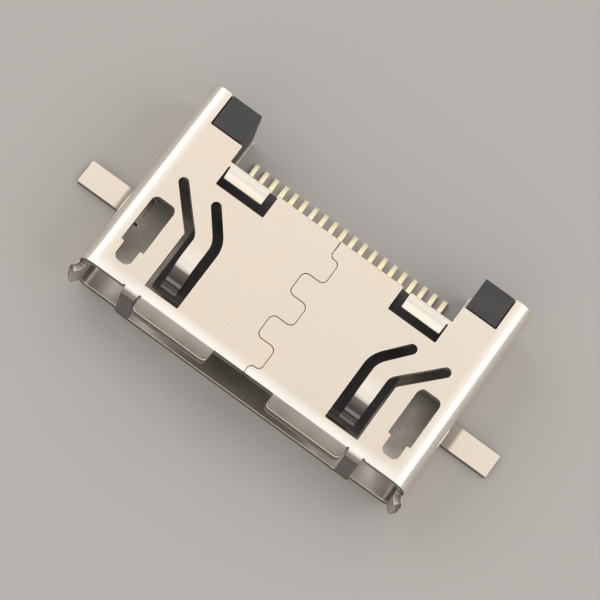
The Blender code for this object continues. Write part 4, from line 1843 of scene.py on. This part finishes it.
@dataclass
class Contacts:
    """The row of formed contacts, which share one mesh.

    Attributes:
        sizes: The sizes that all pieces share.
        width: Width of a contact.
        thick: Thickness of its strip.
        bend: Radius of its bends, to the middle of the strip.
        tip: Where it starts, back from the roof's front edge.
        drop: Where it drops to the board.
        tail: Where its solder tail ends.
        fit: Room that its groove leaves round it.
        edge_round: How far its edges are rounded.
        sharp: Angle above which an edge is rounded, in degrees.
        soft: Angle below which an edge is shaded smooth, in degrees.
    """

    sizes: Sizes
    width: float = 0.00018
    thick: float = 0.00012
    bend: float = 0.00015
    tip: float = 0.0013
    drop: float = 0.00568
    tail: float = 0.00676
    fit: float = 0.00002
    edge_round: float = 0.000012
    sharp: float = 40
    soft: float = 30

    @property
    def height(self) -> float:
        """Middle of a contact where it lies under the tongue."""
        return self.sizes.tongue_bottom - self.sizes.proud + self.thick / 2

    def side_view(self) -> Path:
        """Draws a contact from the side.

        Returns:
            The outline of its blade under the tongue, its drop behind the base and its solder tail.
        """
        drop = self.height - self.thick / 2
        strip = Strip(
            (
                Run(self.drop - self.bend - self.tip),
                Run.bend(self.bend, -90),
                Run(drop - 2 * self.bend),
                Run.bend(self.bend, 90),
                Run(self.tail - self.drop - self.bend),
            )
        )
        upper, lower = [], []
        for distance in strip.stations():
            advance, rise, heading, _ = strip.follow(distance)
            middle = Vector((self.sizes.front + self.tip + advance, self.height + rise))
            across = Vector((-math.sin(heading), math.cos(heading))) * self.thick / 2
            upper.append(middle + across)
            lower.append(middle - across)
        return upper + lower[::-1]

    def channel(self, past: float) -> Path:
        """Draws the groove for one contact from the side.

        Args:
            past: How far back the groove is cut.

        Returns:
            The groove's outline.
        """
        low = self.sizes.tongue_bottom - self.sizes.proud - self.fit
        high = self.height + self.thick / 2 + self.fit
        front, drop = self.tip - self.fit, self.drop - self.thick / 2 - self.bend
        below = -self.sizes.sheet
        under = [(front, low), (drop, low), (drop, below)]
        return self.sizes.along([*under, (past, below), (past, high), (front, high)])

    def build(self) -> bpy.types.Mesh:
        """Forms one contact and rounds its edges.

        Returns:
            The mesh that all contacts share.
        """
        mesh = Workshop(self.sizes).plate("contact_formed", self.side_view(), self.width)
        shape = bmesh.new()
        shape.from_mesh(mesh)
        sharp = [edge for edge in shape.edges if edge.calc_face_angle(0.0) > math.radians(self.sharp)]
        bmesh.ops.bevel(
            shape,
            geom=sharp,
            offset=self.edge_round,
            segments=ROUND_STEPS,
            profile=0.5,
            affect="EDGES",
            clamp_overlap=True,
        )
        for face in shape.faces:
            face.smooth = True
        for edge in shape.edges:
            edge.smooth = edge.calc_face_angle(0.0) < math.radians(self.soft)
        shape.to_mesh(mesh)
        shape.free()
        return mesh

    def dress(self, mesh: bpy.types.Mesh) -> list[bpy.types.Object]:
        """Makes one piece for each contact.

        Args:
            mesh: The mesh that they share.

        Returns:
            The pieces.
        """
        mesh.materials.append(GoldFinish().material())
        pieces = []
        for number, x in enumerate(self.sizes.contact_xs(), 1):
            place = Matrix.Translation((x, 0, 0)) @ Plane.YZ.matrix()
            name, node = f"contact_piece_{number:02d}", f"contact_{number:02d}"
            pieces.append(add_piece(name, mesh, node, place))
        return pieces


@dataclass(frozen=True)
class Lamp:
    """One soft lamp.

    Attributes:
        name: Its name.
        place: Where it is, in metres.
        size: Its width and height.
        watts: Its power.
        colour: Its colour.
    """

    name: str
    place: tuple[float, float, float]
    size: tuple[float, float]
    watts: float
    colour: Colour = (1.0, 0.985, 0.96)

    def light(self, aim: Vector) -> None:
        """Sets the lamp up.

        Args:
            aim: What it points at.
        """
        data = bpy.data.lights.new(self.name, "AREA")
        data.shape = "RECTANGLE"
        data.size, data.size_y = self.size
        data.energy = self.watts
        data.color = self.colour
        lamp = bpy.data.objects.new(self.name, data)
        lamp.location = self.place
        lamp.rotation_euler = (aim - Vector(self.place)).to_track_quat("-Z", "Y").to_euler()
        bpy.context.scene.collection.objects.link(lamp)


@dataclass(frozen=True)
class Room:
    """The room round the studio: soft light on surfaces, and bands of light in reflections.

    Attributes:
        lean: Direction that the bands are stacked along.
        bands: How far along it each band lies, from level upward, and how pale it is.
        tint: Colour of the bands.
        shine: Strength of the bands.
        soft_tint: Colour of the soft light.
        soft: Strength of the soft light.
    """

    lean: tuple[float, float, float] = (0.0, -0.35, 1.0)
    bands: tuple[tuple[float, float], ...] = (
        (0.0, 0.42),
        (0.12, 0.36),
        (0.2, 0.1),
        (0.47, 0.11),
        (0.57, 0.85),
        (0.76, 0.8),
        (0.84, 0.56),
        (1.0, 0.56),
    )
    tint: Colour = (1.0, 0.985, 0.96)
    shine: float = 1.6
    soft_tint: Colour = (1.0, 0.99, 0.975)
    soft: float = 0.5

    def banded(self, sketch: NodeSketch) -> Socket:
        """Lays out the bands by the direction that is looked in.

        Args:
            sketch: The sketch of the room's nodes.

        Returns:
            Their colour.
        """
        lean = sketch.node("ShaderNodeVectorMath", operation="DOT_PRODUCT")
        lean.inputs[1].default_value = self.lean
        sketch.link(sketch.node("ShaderNodeTexCoord").outputs["Generated"], lean.inputs[0])
        ramp = sketch.node("ShaderNodeValToRGB")
        sketch.link(lean.outputs["Value"], ramp.inputs["Fac"])
        elements = ramp.color_ramp.elements
        while len(elements) < len(self.bands):
            elements.new(0.5)
        for element, (place, value) in zip(elements, self.bands):
            element.position = place
            element.color = (*(value * share for share in self.tint), 1.0)
        return ramp.outputs["Color"]

    def mirror_rays(self, sketch: NodeSketch) -> Socket:
        """Finds which rays see the bands.

        Args:
            sketch: The sketch of the room's nodes.

        Returns:
            1 for rays from the camera, from reflections and through glass, and 0 for all others.
        """
        path = sketch.node("ShaderNodeLightPath")
        camera, glossy = path.outputs["Is Camera Ray"], path.outputs["Is Glossy Ray"]
        either = sketch.maths(Maths.LARGER, camera, glossy)
        return sketch.maths(Maths.LARGER, either, path.outputs["Is Transmission Ray"])

    def build(self) -> None:
        """Makes the room and gives it to the scene."""
        world = bpy.data.worlds.new("room")
        world.use_nodes = True
        bpy.context.scene.world = world
        world.node_tree.nodes.clear()
        sketch = NodeSketch(world.node_tree)
        seen, soft = sketch.node("ShaderNodeBackground"), sketch.node("ShaderNodeBackground")
        sketch.link(self.banded(sketch), seen.inputs["Color"])
        seen.inputs["Strength"].default_value = self.shine
        soft.inputs["Color"].default_value = (*self.soft_tint, 1.0)
        soft.inputs["Strength"].default_value = self.soft
        mix = sketch.node("ShaderNodeMixShader")
        sketch.link(self.mirror_rays(sketch), mix.inputs["Fac"])
        sketch.link(soft.outputs[0], mix.inputs[1])
        sketch.link(seen.outputs[0], mix.inputs[2])
        sketch.link(mix.outputs[0], sketch.node("ShaderNodeOutputWorld").inputs["Surface"])


@dataclass
class Studio:
    """Camera, floor, room and lamps.

    Attributes:
        aim: What the camera looks at.
        distance: How far away the camera is.
        elevation: Its height above the horizon, in degrees.
        azimuth: How far it stands round to the right, in degrees.
        roll: How far the picture turns clockwise, in degrees.
        span: Width of what it sees at the aim.
        sensor: Width of its sensor, in millimetres.
        sees: Nearest and furthest distance that it sees.
        floor_half: Half the floor's width.
        floor_gap: How far the floor lies below the board's plane.
        room: The room round it.
        lamps: The lamps.
    """

    aim: Vector = field(default_factory=lambda: Vector((0.0, 0.0001, 0.0014)))
    distance: float = 0.1
    elevation: float = 72.0
    azimuth: float = 8.0
    roll: float = 36.0
    span: float = 0.0192
    sensor: float = 36
    sees: tuple[float, float] = (0.005, 5)
    floor_half: float = 1.5
    floor_gap: float = 0.00001
    room: Room = Room()
    lamps: tuple[Lamp, ...] = (
        Lamp("lamp_left", (-0.2, 0.02, 0.2), (0.26, 0.2), 0.18),
        Lamp("lamp_right", (0.2, 0.02, 0.2), (0.26, 0.2), 0.18),
        Lamp("lamp_front", (0.03, -0.22, 0.2), (0.4, 0.24), 0.08),
    )

    def camera(self) -> None:
        """Places the camera at the photograph's viewing angle."""
        lift, turn, roll = (math.radians(a) for a in (self.elevation, self.azimuth, self.roll))
        toward = Vector((math.cos(lift) * math.sin(turn), -math.cos(lift) * math.cos(turn), math.sin(lift)))
        across = Vector((1, 0, 0))
        level = (across - toward * across.dot(toward)).normalized()
        upright = toward.cross(level)
        right = level * math.cos(roll) + upright * math.sin(roll)
        up = upright * math.cos(roll) - level * math.sin(roll)
        data = bpy.data.cameras.new("camera")
        data.sensor_width = self.sensor
        data.lens = self.sensor * self.distance / self.span
        data.clip_start, data.clip_end = self.sees
        camera = bpy.data.objects.new("camera", data)
        place = self.aim + toward * self.distance
        camera.matrix_world = Matrix.Translation(place) @ Matrix((right, up, toward)).transposed().to_4x4()
        bpy.context.scene.collection.objects.link(camera)
        bpy.context.scene.camera = camera

    def floor(self) -> None:
        """Lays the floor."""
        shape = bmesh.new()
        bmesh.ops.create_grid(shape, x_segments=1, y_segments=1, size=self.floor_half)
        mesh = bpy.data.meshes.new("studio_floor")
        shape.to_mesh(mesh)
        shape.free()
        mesh.materials.append(FloorFinish().material())
        floor = bpy.data.objects.new("studio_floor", mesh)
        floor.location.z = -self.floor_gap
        bpy.context.scene.collection.objects.link(floor)

    def build(self) -> None:
        """Sets everything up."""
        bpy.context.scene.view_settings.view_transform = "Standard"
        self.camera()
        self.floor()
        self.room.build()
        for lamp in self.lamps:
            lamp.light(self.aim)


def main() -> None:
    """Builds every piece in order, and then the studio."""
    logging.basicConfig(level=logging.INFO, format="%(name)s: %(message)s")
    sizes = Sizes()
    shell, housing, contacts = Shell(sizes), Housing(sizes), Contacts(sizes)
    piece = shell.dress(shell.build())
    log.info("%s: %d faces", piece.name, len(piece.data.polygons))
    piece = housing.dress(housing.build(contacts))
    log.info("%s: %d faces", piece.name, len(piece.data.polygons))
    pieces = contacts.dress(contacts.build())
    log.info("%d contacts: %d faces each", len(pieces), len(pieces[0].data.polygons))
    Studio().build()
    bpy.context.view_layer.update()


if __name__ == "__main__":
    main()
